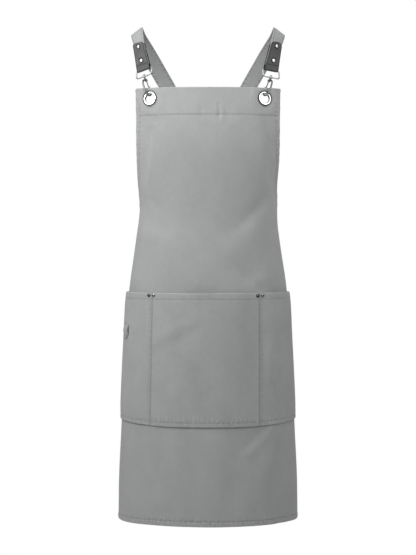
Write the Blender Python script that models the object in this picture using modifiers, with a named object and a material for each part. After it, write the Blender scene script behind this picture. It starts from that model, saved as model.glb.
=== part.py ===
"""Cross back apron: bib, skirt and pockets hung as worn, with crossed shoulder straps.

The front faces -Y, the width runs along X and +Z is up. The origin is where the straps
rest on the shoulders, midway between them. Lengths are metres.
"""
import math

import bmesh
import bpy
import numpy as np
from mathutils import Matrix, Vector

MM = 0.001

# The apron cloth, measured on the flat cut
APRON_LENGTH = 0.860
APRON_HALF_WIDTH = 0.360
BIB_HALF_WIDTH = 0.1522
BIB_CORNER = 3.0 * MM
ARMHOLE_DEPTH = 0.330
ARMHOLE_POWER = 2.3
TOP_BAND = 0.055
SIDE_HEM = 0.011
BOTTOM_HEM = 0.020
HEM_STEP = 2.0 * MM
CLOTH = 1.2 * MM
FOLDED_CLOTH = 2.4 * MM
SEWN_GAP = 0.3 * MM
FACET_CLEAR = 1.0 * MM
BIB_TOP_Z = -0.118

# The shape that the cloth takes as worn: a rounded section at each distance below the bib top
FORM_COLUMNS = ("down", "half_width", "front_y", "side_y", "back_y", "squareness")
FORM = (
    (0.000, 0.1695, -0.098, 0.002, 0.112, 2.30),
    (0.055, 0.1665, -0.111, 0.003, 0.114, 2.30),
    (0.110, 0.1590, -0.118, 0.004, 0.114, 2.30),
    (0.165, 0.1475, -0.116, 0.004, 0.110, 2.28),
    (0.218, 0.1393, -0.112, 0.004, 0.104, 2.26),
    (0.243, 0.1382, -0.111, 0.004, 0.102, 2.25),
    (0.267, 0.1400, -0.111, 0.004, 0.103, 2.24),
    (0.291, 0.1437, -0.112, 0.005, 0.106, 2.23),
    (0.340, 0.1510, -0.116, 0.006, 0.114, 2.20),
    (0.388, 0.1578, -0.120, 0.007, 0.120, 2.18),
    (0.510, 0.1660, -0.124, 0.008, 0.128, 2.16),
    (0.607, 0.1716, -0.126, 0.009, 0.130, 2.14),
    (0.679, 0.1749, -0.127, 0.010, 0.132, 2.12),
    (0.776, 0.1796, -0.129, 0.011, 0.134, 2.10),
    (0.860, 0.1810, -0.130, 0.012, 0.134, 2.10),
)

# Soft folds: a ridge (or hollow, if out is below zero) from one place on the cut to another
FOLD_COLUMNS = ("across_a", "down_a", "across_b", "down_b", "spread", "out")
FOLDS = (
    (-0.118, 0.080, -0.150, 0.165, 0.013, -0.0016),
    (-0.104, 0.090, -0.140, 0.200, 0.015, 0.0016),
    (0.118, 0.085, 0.150, 0.165, 0.013, -0.0022),
    (0.104, 0.090, 0.140, 0.200, 0.015, 0.0018),
    (0.160, 0.205, 0.075, 0.270, 0.022, -0.0034),
    (0.165, 0.240, 0.060, 0.310, 0.022, 0.0030),
    (-0.160, 0.235, -0.090, 0.270, 0.024, -0.0020),
    (-0.150, 0.280, -0.060, 0.330, 0.026, 0.0020),
    (0.150, 0.330, 0.080, 0.350, 0.026, -0.0022),
    (0.175, 0.500, 0.180, 0.640, 0.020, -0.0030),
    (0.145, 0.690, 0.105, 0.780, 0.020, 0.0036),
    (0.185, 0.700, 0.175, 0.860, 0.022, -0.0036),
    (-0.170, 0.720, -0.180, 0.860, 0.026, 0.0026),
    (-0.110, 0.740, -0.105, 0.860, 0.030, -0.0024),
    (0.010, 0.720, 0.020, 0.860, 0.030, 0.0022),
    (0.300, 0.520, 0.320, 0.860, 0.030, 0.0060),
    (-0.300, 0.520, -0.325, 0.860, 0.030, 0.0060),
)

# The pocket, with two sewn lines that divide it into three
POCKET_HALF_WIDTH = 0.275
POCKET_TOP = 0.4045
POCKET_BOTTOM = 0.6655
POCKET_HEM = 0.012
POCKET_CLOTH = 1.5 * MM
POCKET_FOLDED = 2.1 * MM
POCKET_END_RISE_TOP = 1.2 * MM
POCKET_END_RISE_BOTTOM = 7.5 * MM
SEAM_COLUMNS = ("side", "across_top", "across_bottom")
SEAMS = ((-1, 0.1158, 0.1208), (1, 0.1062, 0.1060))
CENTRE_BULGE = 8.5 * MM
SIDE_BULGE = 4.6 * MM
SEAM_FLAT = 9.0 * MM

# Eyelets in the top band
EYELET_COLUMNS = ("side", "across", "down")
EYELETS = ((-1, 0.1176, 0.0213), (1, 0.1145, 0.0213))
EYELET_OUTER = 14.8 * MM
EYELET_BORE = 9.8 * MM
EYELET_BARREL = 10.6 * MM
EYELET_ROLL = 1.1 * MM
EYELET_FLAT = 21.0 * MM
EYELET_BLEND = 36.0 * MM

# Straps: the middle of each strap from the ring's upper bar over the shoulder to its end,
# with the direction of the line across it, from its outer edge to its inner edge
STRAP_WIDTH = 0.032
STRAP = 2.2 * MM
STRAP_START = 8.5 * MM
STRAP_COLUMNS = ("out", "back", "up", "across_in", "across_front", "across_up")
STRAP_FRONT = {
    -1: (
        (0.1268, -0.0610, 0.0379, 0.785, 0.575, 0.230),
        (0.1322, -0.0540, 0.0640, 0.705, 0.700, 0.120),
        (0.1376, -0.0440, 0.0895, 0.665, 0.740, 0.070),
    ),
    1: (
        (0.1243, -0.0610, 0.0370, 0.850, 0.515, 0.103),
        (0.1299, -0.0540, 0.0640, 0.735, 0.670, 0.100),
        (0.1358, -0.0430, 0.0905, 0.670, 0.735, 0.100),
    ),
}
STRAP_OVER = (
    (0.1412, -0.0310, 0.1080, 0.710, 0.600, 0.290),
    (0.1432, -0.0110, 0.1190, 0.720, 0.500, 0.470),
    (0.1385, 0.0230, 0.1070, 0.800, 0.300, 0.510),
    (0.1225, 0.0560, 0.0822, 0.850, 0.120, 0.510),
    (0.0998, 0.0850, 0.0445, 0.860, 0.040, 0.500),
    (0.0806, 0.1000, 0.0116, 0.860, 0.000, 0.500),
    (0.0510, 0.1130, -0.0450, 0.870, -0.050, 0.480),
    (0.0000, 0.1180, -0.1400, 0.880, 0.000, 0.450),
    (-0.0380, 0.1085, -0.2200, 0.890, 0.050, 0.430),
)
CROSSING_ROW = 7
STRAP_CROSSING_LIFT = 2.3 * MM
STRAP_END_COLUMNS = ("across", "down", "across_up")
STRAP_END = ((0.354, 0.294, 0.420), (0.336, 0.362, 0.380))
STRAP_END_DEPTH = 2.2 * MM

# Leather tabs folded over the rings
TAB_WIDTH = 0.0332
TAB = 1.4 * MM
TAB_LENGTH = {-1: 0.0585, 1: 0.0615}
TAB_CORNER = 5.0 * MM
TAB_EASE = 8.0 * MM
BAR_CLEAR = 0.4 * MM
TAB_RIVETS = {-1: (0.0185, 0.0490), 1: (0.0195, 0.0515)}
RIVET_HEAD = 4.2 * MM
RIVET_DOME = 1.3 * MM
RIVET_SHANK = 1.4 * MM
RIVET_CLEAR = 0.3 * MM
RIVET_WASHER = 1.0 * MM

# Rings and hooks. The lower bar's middle: distance out, back and up from the bib top
WIRE = 1.3 * MM
RING_COLUMNS = ("side", "out", "back", "up", "swivel_turn")
RINGS = ((-1, 0.1258, -0.0670, 0.0234, 24.0), (1, 0.1240, -0.0670, 0.0212, 22.0))
RING_SIDE_GAP = 1.2 * MM
RING_UPPER_CORNER = 2.4 * MM
RING_LOWER_CORNER = 5.0 * MM
COLLAR = 2.7 * MM
COLLAR_HALF = 2.4 * MM
STEM = 1.2 * MM
STEM_CLEAR = 0.3 * MM
HOOK_WIRE = 1.6 * MM
HOOK_SEAT = (2.4 * MM, 6.4 * MM)

# The hook's bent body in its own plane: toward the front, and up from the foot
HOOK_COLUMNS = ("front", "up", "thickness_share")
HOOK_BODY = (
    (0.0004, 0.0342, 1.10),
    (0.0040, 0.0332, 1.00),
    (0.0067, 0.0306, 1.00),
    (0.0079, 0.0262, 1.05),
    (0.0083, 0.0205, 1.15),
    (0.0084, 0.0140, 1.15),
    (0.0082, 0.0090, 1.05),
    (0.0071, 0.0044, 1.00),
    (0.0043, 0.0010, 1.00),
    (0.0000, 0.0000, 1.00),
    (-0.0040, 0.0012, 1.00),
    (-0.0063, 0.0046, 0.95),
    (-0.0068, 0.0095, 0.90),
    (-0.0068, 0.0150, 0.85),
    (-0.0066, 0.0190, 0.65),
)
GATE_PIN = (-0.0024, 0.0326)
GATE_END = (-0.0036, 0.0183)
GATE_WIRE = 1.05 * MM
GATE_EYE = 2.0 * MM
PIN = 0.85 * MM
PIN_CLEAR = 0.3 * MM
EYE_HALF = 1.05 * MM
CHEEK = 0.9 * MM
HOOK_HEAD = 2.3 * MM

# Rivets at the pocket's corners: distance from the centre line and below the pocket's top
POCKET_RIVET_COLUMNS = ("name", "across", "below_top")
POCKET_RIVETS = (
    ("pocket_rivet_left_outer", -0.1217, 4.5 * MM),
    ("pocket_rivet_left_inner", -0.1108, 4.1 * MM),
    ("pocket_rivet_right_inner", 0.0998, 5.0 * MM),
    ("pocket_rivet_right_outer", 0.1108, 4.5 * MM),
)
POCKET_RIVET_HEAD = 4.0 * MM

# The cloth loop on the pocket's side
LOOP_ACROSS = (0.178, 0.204)
LOOP_DOWN = (0.463, 0.500)
LOOP_BOW = 4.4 * MM
LOOP_SEWN = 6.0 * MM
LOOP_CLOTH = 1.6 * MM

# Where the mesh's rows and columns lie, as shares of the span that each set covers
INNER_SHARES = (0.0, 0.40, 0.76, 1.0)
OUTER_SHARES = (0.0, 0.17, 0.36, 0.57, 0.79, 1.0)
BEYOND_SHARES = (0.30, 0.64, 1.0)
BAND_SHARES = (0.0, 0.11, 0.38, 0.75, 1.0)
BIB_SHARES = (0.0, 0.115, 0.25, 0.40, 0.535, 0.645, 0.755, 0.85, 0.93, 1.0)
WAIST_SHARES = (0.38, 0.78)
SKIRT_SHARES = (0.23, 0.58, 0.985)
POCKET_LEVELS = (0.0, 0.046, 0.066, 0.16, 0.30, 0.44, 0.58, 0.71, 0.84, 0.93, 1.0)
WAIST_LEVEL = 1

MATERIALS = {
    "canvas": ((0.36, 0.37, 0.37), 0.0, 0.90),
    "leather": ((0.085, 0.086, 0.085), 0.0, 0.55),
    "nickel": ((0.62, 0.62, 0.61), 1.0, 0.28),
}


def clear_scene():
    for thing in list(bpy.data.objects):
        bpy.data.objects.remove(thing, do_unlink=True)


def collection(name):
    made = bpy.data.collections.new(name)
    bpy.context.scene.collection.children.link(made)
    return made


def material(name, kind):
    colour, metallic, roughness = MATERIALS[kind]
    made = bpy.data.materials.new(name)
    made.use_nodes = True
    shader = made.node_tree.nodes["Principled BSDF"]
    shader.inputs["Base Color"].default_value = (*colour, 1.0)
    shader.inputs["Metallic"].default_value = metallic
    shader.inputs["Roughness"].default_value = roughness
    made.diffuse_color = (*colour, 1.0)
    return made


def smooth_step(value):
    value = np.clip(value, 0.0, 1.0)
    return value * value * (3.0 - 2.0 * value)


def through(knots, rows, at):
    """A smooth curve through rows at the given knots, read at one or more places."""
    knots = np.asarray(knots, float)
    rows = np.asarray(rows, float)
    at = np.atleast_1d(np.asarray(at, float))
    steps = np.diff(knots)
    slopes = np.diff(rows, axis=0) / steps[:, None]
    tangents = np.empty_like(rows)
    tangents[0] = slopes[0]
    tangents[-1] = slopes[-1]
    near = steps[1:, None] * slopes[:-1] + steps[:-1, None] * slopes[1:]
    tangents[1:-1] = near / (steps[1:] + steps[:-1])[:, None]
    place = np.clip(np.searchsorted(knots, at) - 1, 0, len(steps) - 1)
    part = (at - knots[place]) / steps[place]
    inside = np.clip(part, 0.0, 1.0)[:, None]
    span = steps[place][:, None]
    value = (
        rows[place] * (1 + 2 * inside) * (1 - inside) ** 2
        + tangents[place] * span * inside * (1 - inside) ** 2
        + rows[place + 1] * inside**2 * (3 - 2 * inside)
        + tangents[place + 1] * span * inside**2 * (inside - 1)
    )
    before = np.minimum(at - knots[0], 0.0)[:, None] * tangents[0]
    after = np.maximum(at - knots[-1], 0.0)[:, None] * tangents[-1]
    return value + before + after


def section(down):
    """Points round one level from the front's middle to the back's, and their distances."""
    at_level = through([row[0] for row in FORM], [row[1:] for row in FORM], down)[0]
    half, front, side, back, squareness = at_level
    turn = np.linspace(0.0, math.pi, 361)
    power = 2.0 / squareness
    x = half * np.abs(np.sin(turn)) ** power
    reach = np.abs(np.cos(turn)) ** power
    y = np.where(turn <= math.pi / 2, side + (front - side) * reach, side + (back - side) * reach)
    walked = np.concatenate([[0.0], np.cumsum(np.hypot(np.diff(x), np.diff(y)))])
    return x, y, walked


SECTIONS = {}


def bare_form(across, down):
    key = round(down, 6)
    if key not in SECTIONS:
        SECTIONS[key] = section(down)
    x, y, walked = SECTIONS[key]
    place = abs(across)
    return np.array(
        [
            math.copysign(np.interp(place, walked, x), across),
            np.interp(place, walked, y),
            BIB_TOP_Z - down,
        ]
    )


def normal_of(surface, across, down, step=0.002):
    right = surface(across + step, down) - surface(across - step, down)
    low = surface(across, down + step) - surface(across, down - step)
    found = np.cross(low, right)
    return found / np.linalg.norm(found)


def fold_height(across, down):
    total = 0.0
    for across_a, down_a, across_b, down_b, spread, out in FOLDS:
        along = np.array([across_b - across_a, down_b - down_a])
        length = np.linalg.norm(along)
        along /= length
        offset = np.array([across - across_a, down - down_a])
        walked = offset @ along
        aside = abs(offset[0] * along[1] - offset[1] * along[0])
        beyond = max(0.0, -walked, walked - length)
        total += out * math.exp(-0.5 * (aside**2 + (0.7 * beyond) ** 2) / spread**2)
    return total


def worn_form(across, down):
    """The cloth's outer face with its folds, before the eyelets flatten it."""
    point = bare_form(across, down)
    return point + normal_of(bare_form, across, down) * fold_height(across, down)


EYELET_PLANES = {}


def eyelet_plane(side):
    if side not in EYELET_PLANES:
        across, down = next(row[1:] for row in EYELETS if row[0] == side)
        centre = worn_form(side * across, down)
        facing = normal_of(worn_form, side * across, down, 0.008)
        EYELET_PLANES[side] = (side * across, down, centre, facing)
    return EYELET_PLANES[side]


def outer_face(across, down):
    point = worn_form(across, down)
    for side in (-1, 1):
        middle, level, centre, facing = eyelet_plane(side)
        away = math.hypot(across - middle, down - level)
        if away < EYELET_BLEND:
            share = 1.0 - smooth_step((away - EYELET_FLAT) / (EYELET_BLEND - EYELET_FLAT))
            point = point - facing * float(share) * ((point - centre) @ facing)
    return point


def cloth_point(across, down, out=0.0):
    """The point on the apron at a place of the flat cut, out from its outer face."""
    point = outer_face(across, down)
    if out:
        point = point + normal_of(outer_face, across, down) * out
    return point


def cut_half_width(down):
    if down >= ARMHOLE_DEPTH:
        return APRON_HALF_WIDTH
    curve = 1.0 - math.sqrt(max(0.0, 1.0 - (down / ARMHOLE_DEPTH) ** ARMHOLE_POWER))
    half = BIB_HALF_WIDTH + (APRON_HALF_WIDTH - BIB_HALF_WIDTH) * curve
    left = BIB_CORNER - down
    if left > 0.0:
        half -= BIB_CORNER - math.sqrt(BIB_CORNER**2 - left**2)
    return half


def mesh_object(name, points, faces, place, smooth=True):
    mesh = bpy.data.meshes.new(name)
    mesh.from_pydata([tuple(p) for p in points], [], faces)
    mesh.update()
    for face in mesh.polygons:
        face.use_smooth = smooth
    made = bpy.data.objects.new(name, mesh)
    place.objects.link(made)
    return made


def grid_object(name, rows, place, flip=False):
    """A sheet from rows of points, with as many points in each row."""
    wide = len(rows[0])
    points = [point for row in rows for point in row]
    faces = []
    for j in range(len(rows) - 1):
        for i in range(wide - 1):
            a = j * wide + i
            face = (a, a + wide, a + wide + 1, a + 1)
            faces.append(face[::-1] if flip else face)
    return mesh_object(name, points, faces, place)


def thicken(made, thickness, offset, shares=None):
    """Gives a sheet its thickness; shares thins it at each point."""
    solid = made.modifiers.new("thickness", "SOLIDIFY")
    solid.thickness = thickness
    solid.offset = offset
    solid.use_even_offset = False
    solid.use_quality_normals = True
    if shares is not None:
        group = made.vertex_groups.new(name="thickness")
        for index, share in enumerate(shares):
            group.add([index], float(share), "REPLACE")
        solid.vertex_group = group.name


def bore(made, cutter):
    cutter.hide_render = True
    cutter.display_type = "WIRE"
    cut = made.modifiers.new("bore", "BOOLEAN")
    cut.operation = "DIFFERENCE"
    cut.solver = "EXACT"
    cut.object = cutter


def join_solid(made, other):
    other.hide_render = True
    other.display_type = "WIRE"
    both = made.modifiers.new("join", "BOOLEAN")
    both.operation = "UNION"
    both.solver = "EXACT"
    both.object = other


def turned_to(axis):
    return Vector(axis).to_track_quat("Z", "Y").to_matrix().to_4x4()


def rods(name, ends, radius, sides, place):
    """Straight round rods between pairs of points, as one mesh."""
    built = bmesh.new()
    for start, end in ends:
        start, end = Vector(start), Vector(end)
        matrix = Matrix.Translation((start + end) / 2) @ turned_to(end - start)
        bmesh.ops.create_cone(
            built,
            cap_ends=True,
            segments=sides,
            radius1=radius,
            radius2=radius,
            depth=(end - start).length,
            matrix=matrix,
        )
    mesh = bpy.data.meshes.new(name)
    built.to_mesh(mesh)
    built.free()
    for face in mesh.polygons:
        face.use_smooth = len(face.vertices) == 4
    made = bpy.data.objects.new(name, mesh)
    place.objects.link(made)
    return made


def bent_wire(name, points, radius, shares, closed, place, sides=2):
    """A round wire along points, made with a bevelled curve and turned into a mesh."""
    curve = bpy.data.curves.new(name + "_path", "CURVE")
    curve.dimensions = "3D"
    curve.bevel_depth = radius
    curve.bevel_resolution = sides
    curve.use_fill_caps = not closed
    line = curve.splines.new("POLY")
    line.points.add(len(points) - 1)
    for index, point in enumerate(points):
        line.points[index].co = (*point, 1.0)
        line.points[index].radius = shares[index] if shares else 1.0
    line.use_cyclic_u = closed
    holder = bpy.data.objects.new(name + "_path", curve)
    place.objects.link(holder)
    bpy.context.view_layer.update()
    seen = holder.evaluated_get(bpy.context.evaluated_depsgraph_get())
    mesh = bpy.data.meshes.new_from_object(seen)
    bpy.data.objects.remove(holder, do_unlink=True)
    built = bmesh.new()
    built.from_mesh(mesh)
    bmesh.ops.remove_doubles(built, verts=built.verts, dist=1e-7)
    bmesh.ops.recalc_face_normals(built, faces=built.faces)
    built.to_mesh(mesh)
    built.free()
    for face in mesh.polygons:
        face.use_smooth = len(face.vertices) == 4
    mesh.name = name
    made = bpy.data.objects.new(name, mesh)
    place.objects.link(made)
    return made


def turned_piece(name, profile, steps, at, axis, place):
    """A round piece turned from a profile of (radius, height) that starts and ends on its axis
    or closes on itself, stood along axis at a point."""
    closed = profile[0] == profile[-1]
    outline = profile[:-1] if closed else profile
    points = [(radius, 0.0, height) for radius, height in outline]
    edges = [(i, i + 1) for i in range(len(points) - 1)]
    if closed:
        edges.append((len(points) - 1, 0))
    mesh = bpy.data.meshes.new(name)
    mesh.from_pydata(points, edges, [])
    made = bpy.data.objects.new(name, mesh)
    place.objects.link(made)
    screw = made.modifiers.new("turn", "SCREW")
    screw.axis = "Z"
    screw.angle = 2 * math.pi
    screw.steps = steps
    screw.render_steps = steps
    screw.use_merge_vertices = True
    screw.merge_threshold = 1e-6
    screw.use_smooth_shade = True
    made.matrix_world = Matrix.Translation(Vector(at)) @ turned_to(axis)
    return made


def cut_columns(side):
    """Places across one half of the skirt; the pocket uses those that it covers."""
    seam = 0.5 * (seam_across(side, POCKET_TOP) + seam_across(side, POCKET_BOTTOM))
    inner = spread_over(0.0, seam - SEAM_FLAT, INNER_SHARES)
    outer = spread_over(seam + SEAM_FLAT, POCKET_HALF_WIDTH - SIDE_HEM, OUTER_SHARES)
    beyond = spread_over(POCKET_HALF_WIDTH, APRON_HALF_WIDTH - SIDE_HEM, BEYOND_SHARES)
    return inner + outer + [POCKET_HALF_WIDTH], beyond + [APRON_HALF_WIDTH]


def spread_over(start, end, shares):
    return [start + (end - start) * share for share in shares]


def both_sides(with_beyond):
    """Places across from image left to image right."""
    left, right = cut_columns(-1), cut_columns(1)
    places = []
    for inside, beyond in (left, right):
        places.append(inside + beyond if with_beyond else inside)
    return [-value for value in places[0][:0:-1]] + places[1]


def level_rows(downs):
    return [[(across_at(place, down), down) for place in both_sides(True)] for down in downs]


def pocket_rows(levels, shift=0.0):
    return [[(place, pocket_down(place, level) + shift) for place in both_sides(True)] for level in levels]


def band_rows():
    """Rows of the folded band along the bib's top."""
    return level_rows(spread_over(0.0, TOP_BAND - SEWN_GAP / 2, BAND_SHARES))


def bib_rows():
    """Rows from the band to the join that the pocket's hem covers."""
    downs = spread_over(TOP_BAND + SEWN_GAP / 2, ARMHOLE_DEPTH, BIB_SHARES)
    downs += spread_over(ARMHOLE_DEPTH, POCKET_TOP, WAIST_SHARES)
    joined = POCKET_LEVELS[WAIST_LEVEL : WAIST_LEVEL + 1]
    return level_rows(downs) + pocket_rows(POCKET_LEVELS[:WAIST_LEVEL]) + pocket_rows(joined, -SEWN_GAP / 2)


def skirt_rows():
    """Rows from that join to the hem; the ones under the pocket follow its rows."""
    joined = POCKET_LEVELS[WAIST_LEVEL : WAIST_LEVEL + 1]
    hem_line = APRON_LENGTH - BOTTOM_HEM
    lower = spread_over(POCKET_BOTTOM, hem_line, SKIRT_SHARES) + [hem_line + HEM_STEP, APRON_LENGTH]
    return pocket_rows(joined, SEWN_GAP / 2) + pocket_rows(POCKET_LEVELS[WAIST_LEVEL + 1 :]) + level_rows(lower)


def across_at(place, down):
    """A place across the skirt, moved in where the cut is narrower, mostly toward the edges;
    the side hem keeps its width."""
    half = cut_half_width(down)
    widest = APRON_HALF_WIDTH - SIDE_HEM
    if abs(place) > widest + 1e-9:
        return math.copysign(half, place)
    squeeze = (widest / (half - SIDE_HEM)) ** 2 - 1.0
    return place / math.sqrt(1.0 + squeeze * (place / widest) ** 2)


def make_cloth_piece(name, table, place):
    """One piece of the apron's cloth from its rows of places on the cut, doubled where folded."""
    rows, thick = [], []
    for row in table:
        rows.append([cloth_point(across, down) for across, down in row])
        for index, (_, down) in enumerate(row):
            banded = down <= TOP_BAND or down > APRON_LENGTH - BOTTOM_HEM
            at_side = index == 0 or index == len(row) - 1
            thick.append(1.0 if banded or at_side else CLOTH / FOLDED_CLOTH)
    made = grid_object(name, rows, place)
    thicken(made, FOLDED_CLOTH, -1.0, thick)
    return made


def make_top_band(place, cutters):
    made = make_cloth_piece("top_band", band_rows(), place)
    holes = [(eyelet_plane(side)[2], eyelet_plane(side)[3]) for side in (-1, 1)]
    ends = [(c + f * 0.01, c - f * 0.01) for c, f in holes]
    bore(made, rods("eyelet_cutter", ends, EYELET_BARREL + 2 * SEWN_GAP, 20, cutters))
    return made


def make_bib(place, cutters):
    made = make_cloth_piece("bib", bib_rows(), place)
    bore(made, rods("bib_rivet_cutter", pocket_rivet_ends(), RIVET_SHANK + RIVET_CLEAR, 10, cutters))
    return made


def make_skirt(place):
    return make_cloth_piece("skirt", skirt_rows(), place)


def seam_across(side, down):
    _, top, bottom = next(row for row in SEAMS if row[0] == side)
    share = (down - POCKET_TOP) / (POCKET_BOTTOM - POCKET_TOP)
    return top + (bottom - top) * share


def pocket_out(across, down):
    """How far the pocket's inner face stands off the apron."""
    level = (down - POCKET_TOP) / (POCKET_BOTTOM - POCKET_TOP)
    level = min(1.0, max(0.0, level))
    low = 1.0 - level**2.2
    side = -1 if across < 0 else 1
    seam = seam_across(side, down)
    place = abs(across)
    if place < seam - SEAM_FLAT:
        share = 1.0 - (place / (seam - SEAM_FLAT)) ** 2
        return SEWN_GAP + CENTRE_BULGE * share**1.3 * low * (0.55 + 0.45 * (1.0 - level))
    start = seam + SEAM_FLAT
    share = (place - start) / (POCKET_HALF_WIDTH - SIDE_HEM - start)
    share = min(1.0, max(0.0, share))
    return SEWN_GAP + SIDE_BULGE * math.sin(math.pi * share**0.6) ** 2 * low


def pocket_down(across, level):
    """The distance below the bib top at a share of the pocket's height; its ends ride up."""
    end = smooth_step((abs(across) - 0.05) / (POCKET_HALF_WIDTH - 0.05))
    top = POCKET_TOP - POCKET_END_RISE_TOP * end
    bottom = POCKET_BOTTOM - POCKET_END_RISE_BOTTOM * end
    return float(top + (bottom - top) * level)


def pocket_face(across, down):
    return cloth_point(across, down, pocket_out(across, down))


def make_pocket(place, cutters):
    rows, thick = [], []
    for level in POCKET_LEVELS:
        row = []
        for across in both_sides(False):
            down = pocket_down(across, level)
            row.append(pocket_face(across, down))
            folded = level * (POCKET_BOTTOM - POCKET_TOP) <= POCKET_HEM + 0.001
            thick.append(1.0 if folded else POCKET_CLOTH / POCKET_FOLDED)
        rows.append(row)
    made = grid_object("front_pocket", rows, place)
    thicken(made, POCKET_FOLDED, 1.0, thick)
    bore(made, rods("pocket_rivet_cutter", pocket_rivet_ends(), RIVET_SHANK + RIVET_CLEAR, 10, cutters))
    return made


def pocket_rivet_frame(across, below_top):
    """The middle of the layers under one pocket rivet, their outward direction and thickness."""
    down = POCKET_TOP + below_top
    facing = normal_of(outer_face, across, down)
    low = -CLOTH - FACET_CLEAR
    high = pocket_out(across, down) + POCKET_FOLDED
    base = cloth_point(across, down)
    return base, facing, low, high


def pocket_rivet_ends():
    ends = []
    for _, across, below_top in POCKET_RIVETS:
        base, facing, low, high = pocket_rivet_frame(across, below_top)
        ends.append((base + facing * (high + 0.004), base + facing * (low - 0.004)))
    return ends


def rivet(name, base, facing, low, high, head, place):
    """A domed cap outside, a shank through every layer and a flat cap inside."""
    top = high + RIVET_CLEAR
    bottom = low - RIVET_CLEAR
    profile = [
        (0.0, top + RIVET_DOME),
        (head * 0.55, top + RIVET_DOME * 0.82),
        (head * 0.88, top + RIVET_DOME * 0.45),
        (head, top),
        (RIVET_SHANK, top),
        (RIVET_SHANK, bottom),
        (head * 0.85, bottom),
        (head * 0.80, bottom - RIVET_WASHER),
        (0.0, bottom - RIVET_WASHER),
    ]
    return turned_piece(name, profile, 9, base, facing, place)


def make_pocket_rivets(place):
    made = []
    for name, across, below_top in POCKET_RIVETS:
        base, facing, low, high = pocket_rivet_frame(across, below_top)
        made.append(rivet(name, base, facing, low, high, POCKET_RIVET_HEAD, place))
    return made


def make_eyelet(side, place):
    """A rolled ring that grips the top band: outer roll, barrel and inner roll in one."""
    _, _, centre, facing = eyelet_plane(side)
    high = SEWN_GAP
    low = -FOLDED_CLOTH - SEWN_GAP
    profile = [
        (EYELET_BORE, high + EYELET_ROLL * 0.5),
        (EYELET_BORE + 0.9 * MM, high + EYELET_ROLL),
        (EYELET_OUTER - 1.2 * MM, high + EYELET_ROLL * 0.95),
        (EYELET_OUTER, high + EYELET_ROLL * 0.35),
        (EYELET_OUTER - 0.2 * MM, high),
        (EYELET_BARREL, high),
        (EYELET_BARREL, low),
        (EYELET_OUTER - 1.0 * MM, low),
        (EYELET_OUTER - 1.2 * MM, low - EYELET_ROLL * 0.7),
        (EYELET_BORE + 0.5 * MM, low - EYELET_ROLL),
        (EYELET_BORE, low - EYELET_ROLL * 0.5),
    ]
    name = "eyelet_left" if side < 0 else "eyelet_right"
    return turned_piece(name, profile + [profile[0]], 20, centre, facing, place)


def strap_end_rows(side):
    """The strap's last rows, flat inside the far corner of the apron's back."""
    depth = FOLDED_CLOTH + STRAP_END_DEPTH + STRAP
    rows = []
    for across, down, up in STRAP_END:
        point = cloth_point(-side * across, down, -depth)
        facing = normal_of(outer_face, -side * across, down)
        line = np.array([-side * 0.9, 0.0, up])
        line -= facing * (line @ facing)
        line /= np.linalg.norm(line)
        middle = (point[0] * side, point[1], point[2] - BIB_TOP_Z)
        rows.append((*middle, -side * line[0], -line[1], line[2]))
    return rows


STRAP_KEYS = {}


def strap_keys(side):
    """Rows along one strap and the distance walked to each."""
    if side not in STRAP_KEYS:
        rows = [list(row) for row in STRAP_FRONT[side] + STRAP_OVER]
        crossing = len(STRAP_FRONT[side]) + CROSSING_ROW
        for row, share in ((crossing - 1, 0.4), (crossing, 1.0), (crossing + 1, 0.4)):
            rows[row][1] += side * STRAP_CROSSING_LIFT * share
        rows += [list(row) for row in strap_end_rows(side)]
        rows = np.array(rows)
        walked = np.concatenate([[0.0], np.cumsum(np.linalg.norm(np.diff(rows[:, :3], axis=0), axis=1))])
        STRAP_KEYS[side] = (walked, rows)
    return STRAP_KEYS[side]


def strap_frame(side, walked):
    """Middle, across (outer to inner edge) and outward directions of a strap."""
    knots, rows = strap_keys(side)
    step = 0.0005
    at = through(knots, rows, [walked - step, walked, walked + step])
    row = at[1]
    middle = np.array([side * row[0], row[1], BIB_TOP_Z + row[2]])
    across = np.array([-side * row[3], -row[4], row[5]])
    across /= np.linalg.norm(across)
    ahead = at[2] - at[0]
    ahead = np.array([side * ahead[0], ahead[1], ahead[2]])
    ahead /= np.linalg.norm(ahead)
    outward = np.cross(across, ahead) * -side
    outward /= np.linalg.norm(outward)
    return middle, across, outward, ahead


def strap_point(side, walked, sideways, out):
    middle, across, outward, _ = strap_frame(side, walked)
    return middle + across * sideways + outward * out


def strap_length(side):
    return strap_keys(side)[0][-1]


def make_strap(side, place, cutters):
    """A flat band with its own square edges, ring by ring along its length."""
    name = "strap_left" if side < 0 else "strap_right"
    length = strap_length(side)
    front = [STRAP_START] + tab_stops(side)
    over = list(np.linspace(TAB_LENGTH[side] + 0.008, TAB_LENGTH[side] + 0.105, 12))
    back = list(np.linspace(over[-1] + 0.020, length, 15))
    rows = []
    for walked in front + over + back:
        half = STRAP_WIDTH / 2
        rows.append([strap_point(side, walked, place_at * half, 0.0) for place_at in (-1, 0, 1)])
    made = grid_object(name, rows, place, flip=side > 0)
    thicken(made, STRAP, 0.0)
    bore(made, rods(name + "_cutter", tab_rivet_ends(side), RIVET_SHANK + RIVET_CLEAR, 10, cutters))
    return made


def tab_stops(side):
    """Distances along the tab, from near the bar to its cut end, with one at each rivet."""
    far = TAB_LENGTH[side]
    lower, upper = TAB_RIVETS[side]
    return [lower, (lower + upper) / 2, upper, far - TAB_CORNER, far - 0.0014, far]


def tab_rivet_ends(side):
    ends = []
    for walked in TAB_RIVETS[side]:
        middle, _, outward, _ = strap_frame(side, walked)
        ends.append((middle + outward * 0.008, middle - outward * 0.008))
    return ends


def tab_half_width(side, walked):
    left = TAB_LENGTH[side] - walked
    half = TAB_WIDTH / 2
    if left >= TAB_CORNER:
        return half
    return half - TAB_CORNER + math.sqrt(max(0.0, TAB_CORNER**2 - (TAB_CORNER - left) ** 2))


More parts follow.
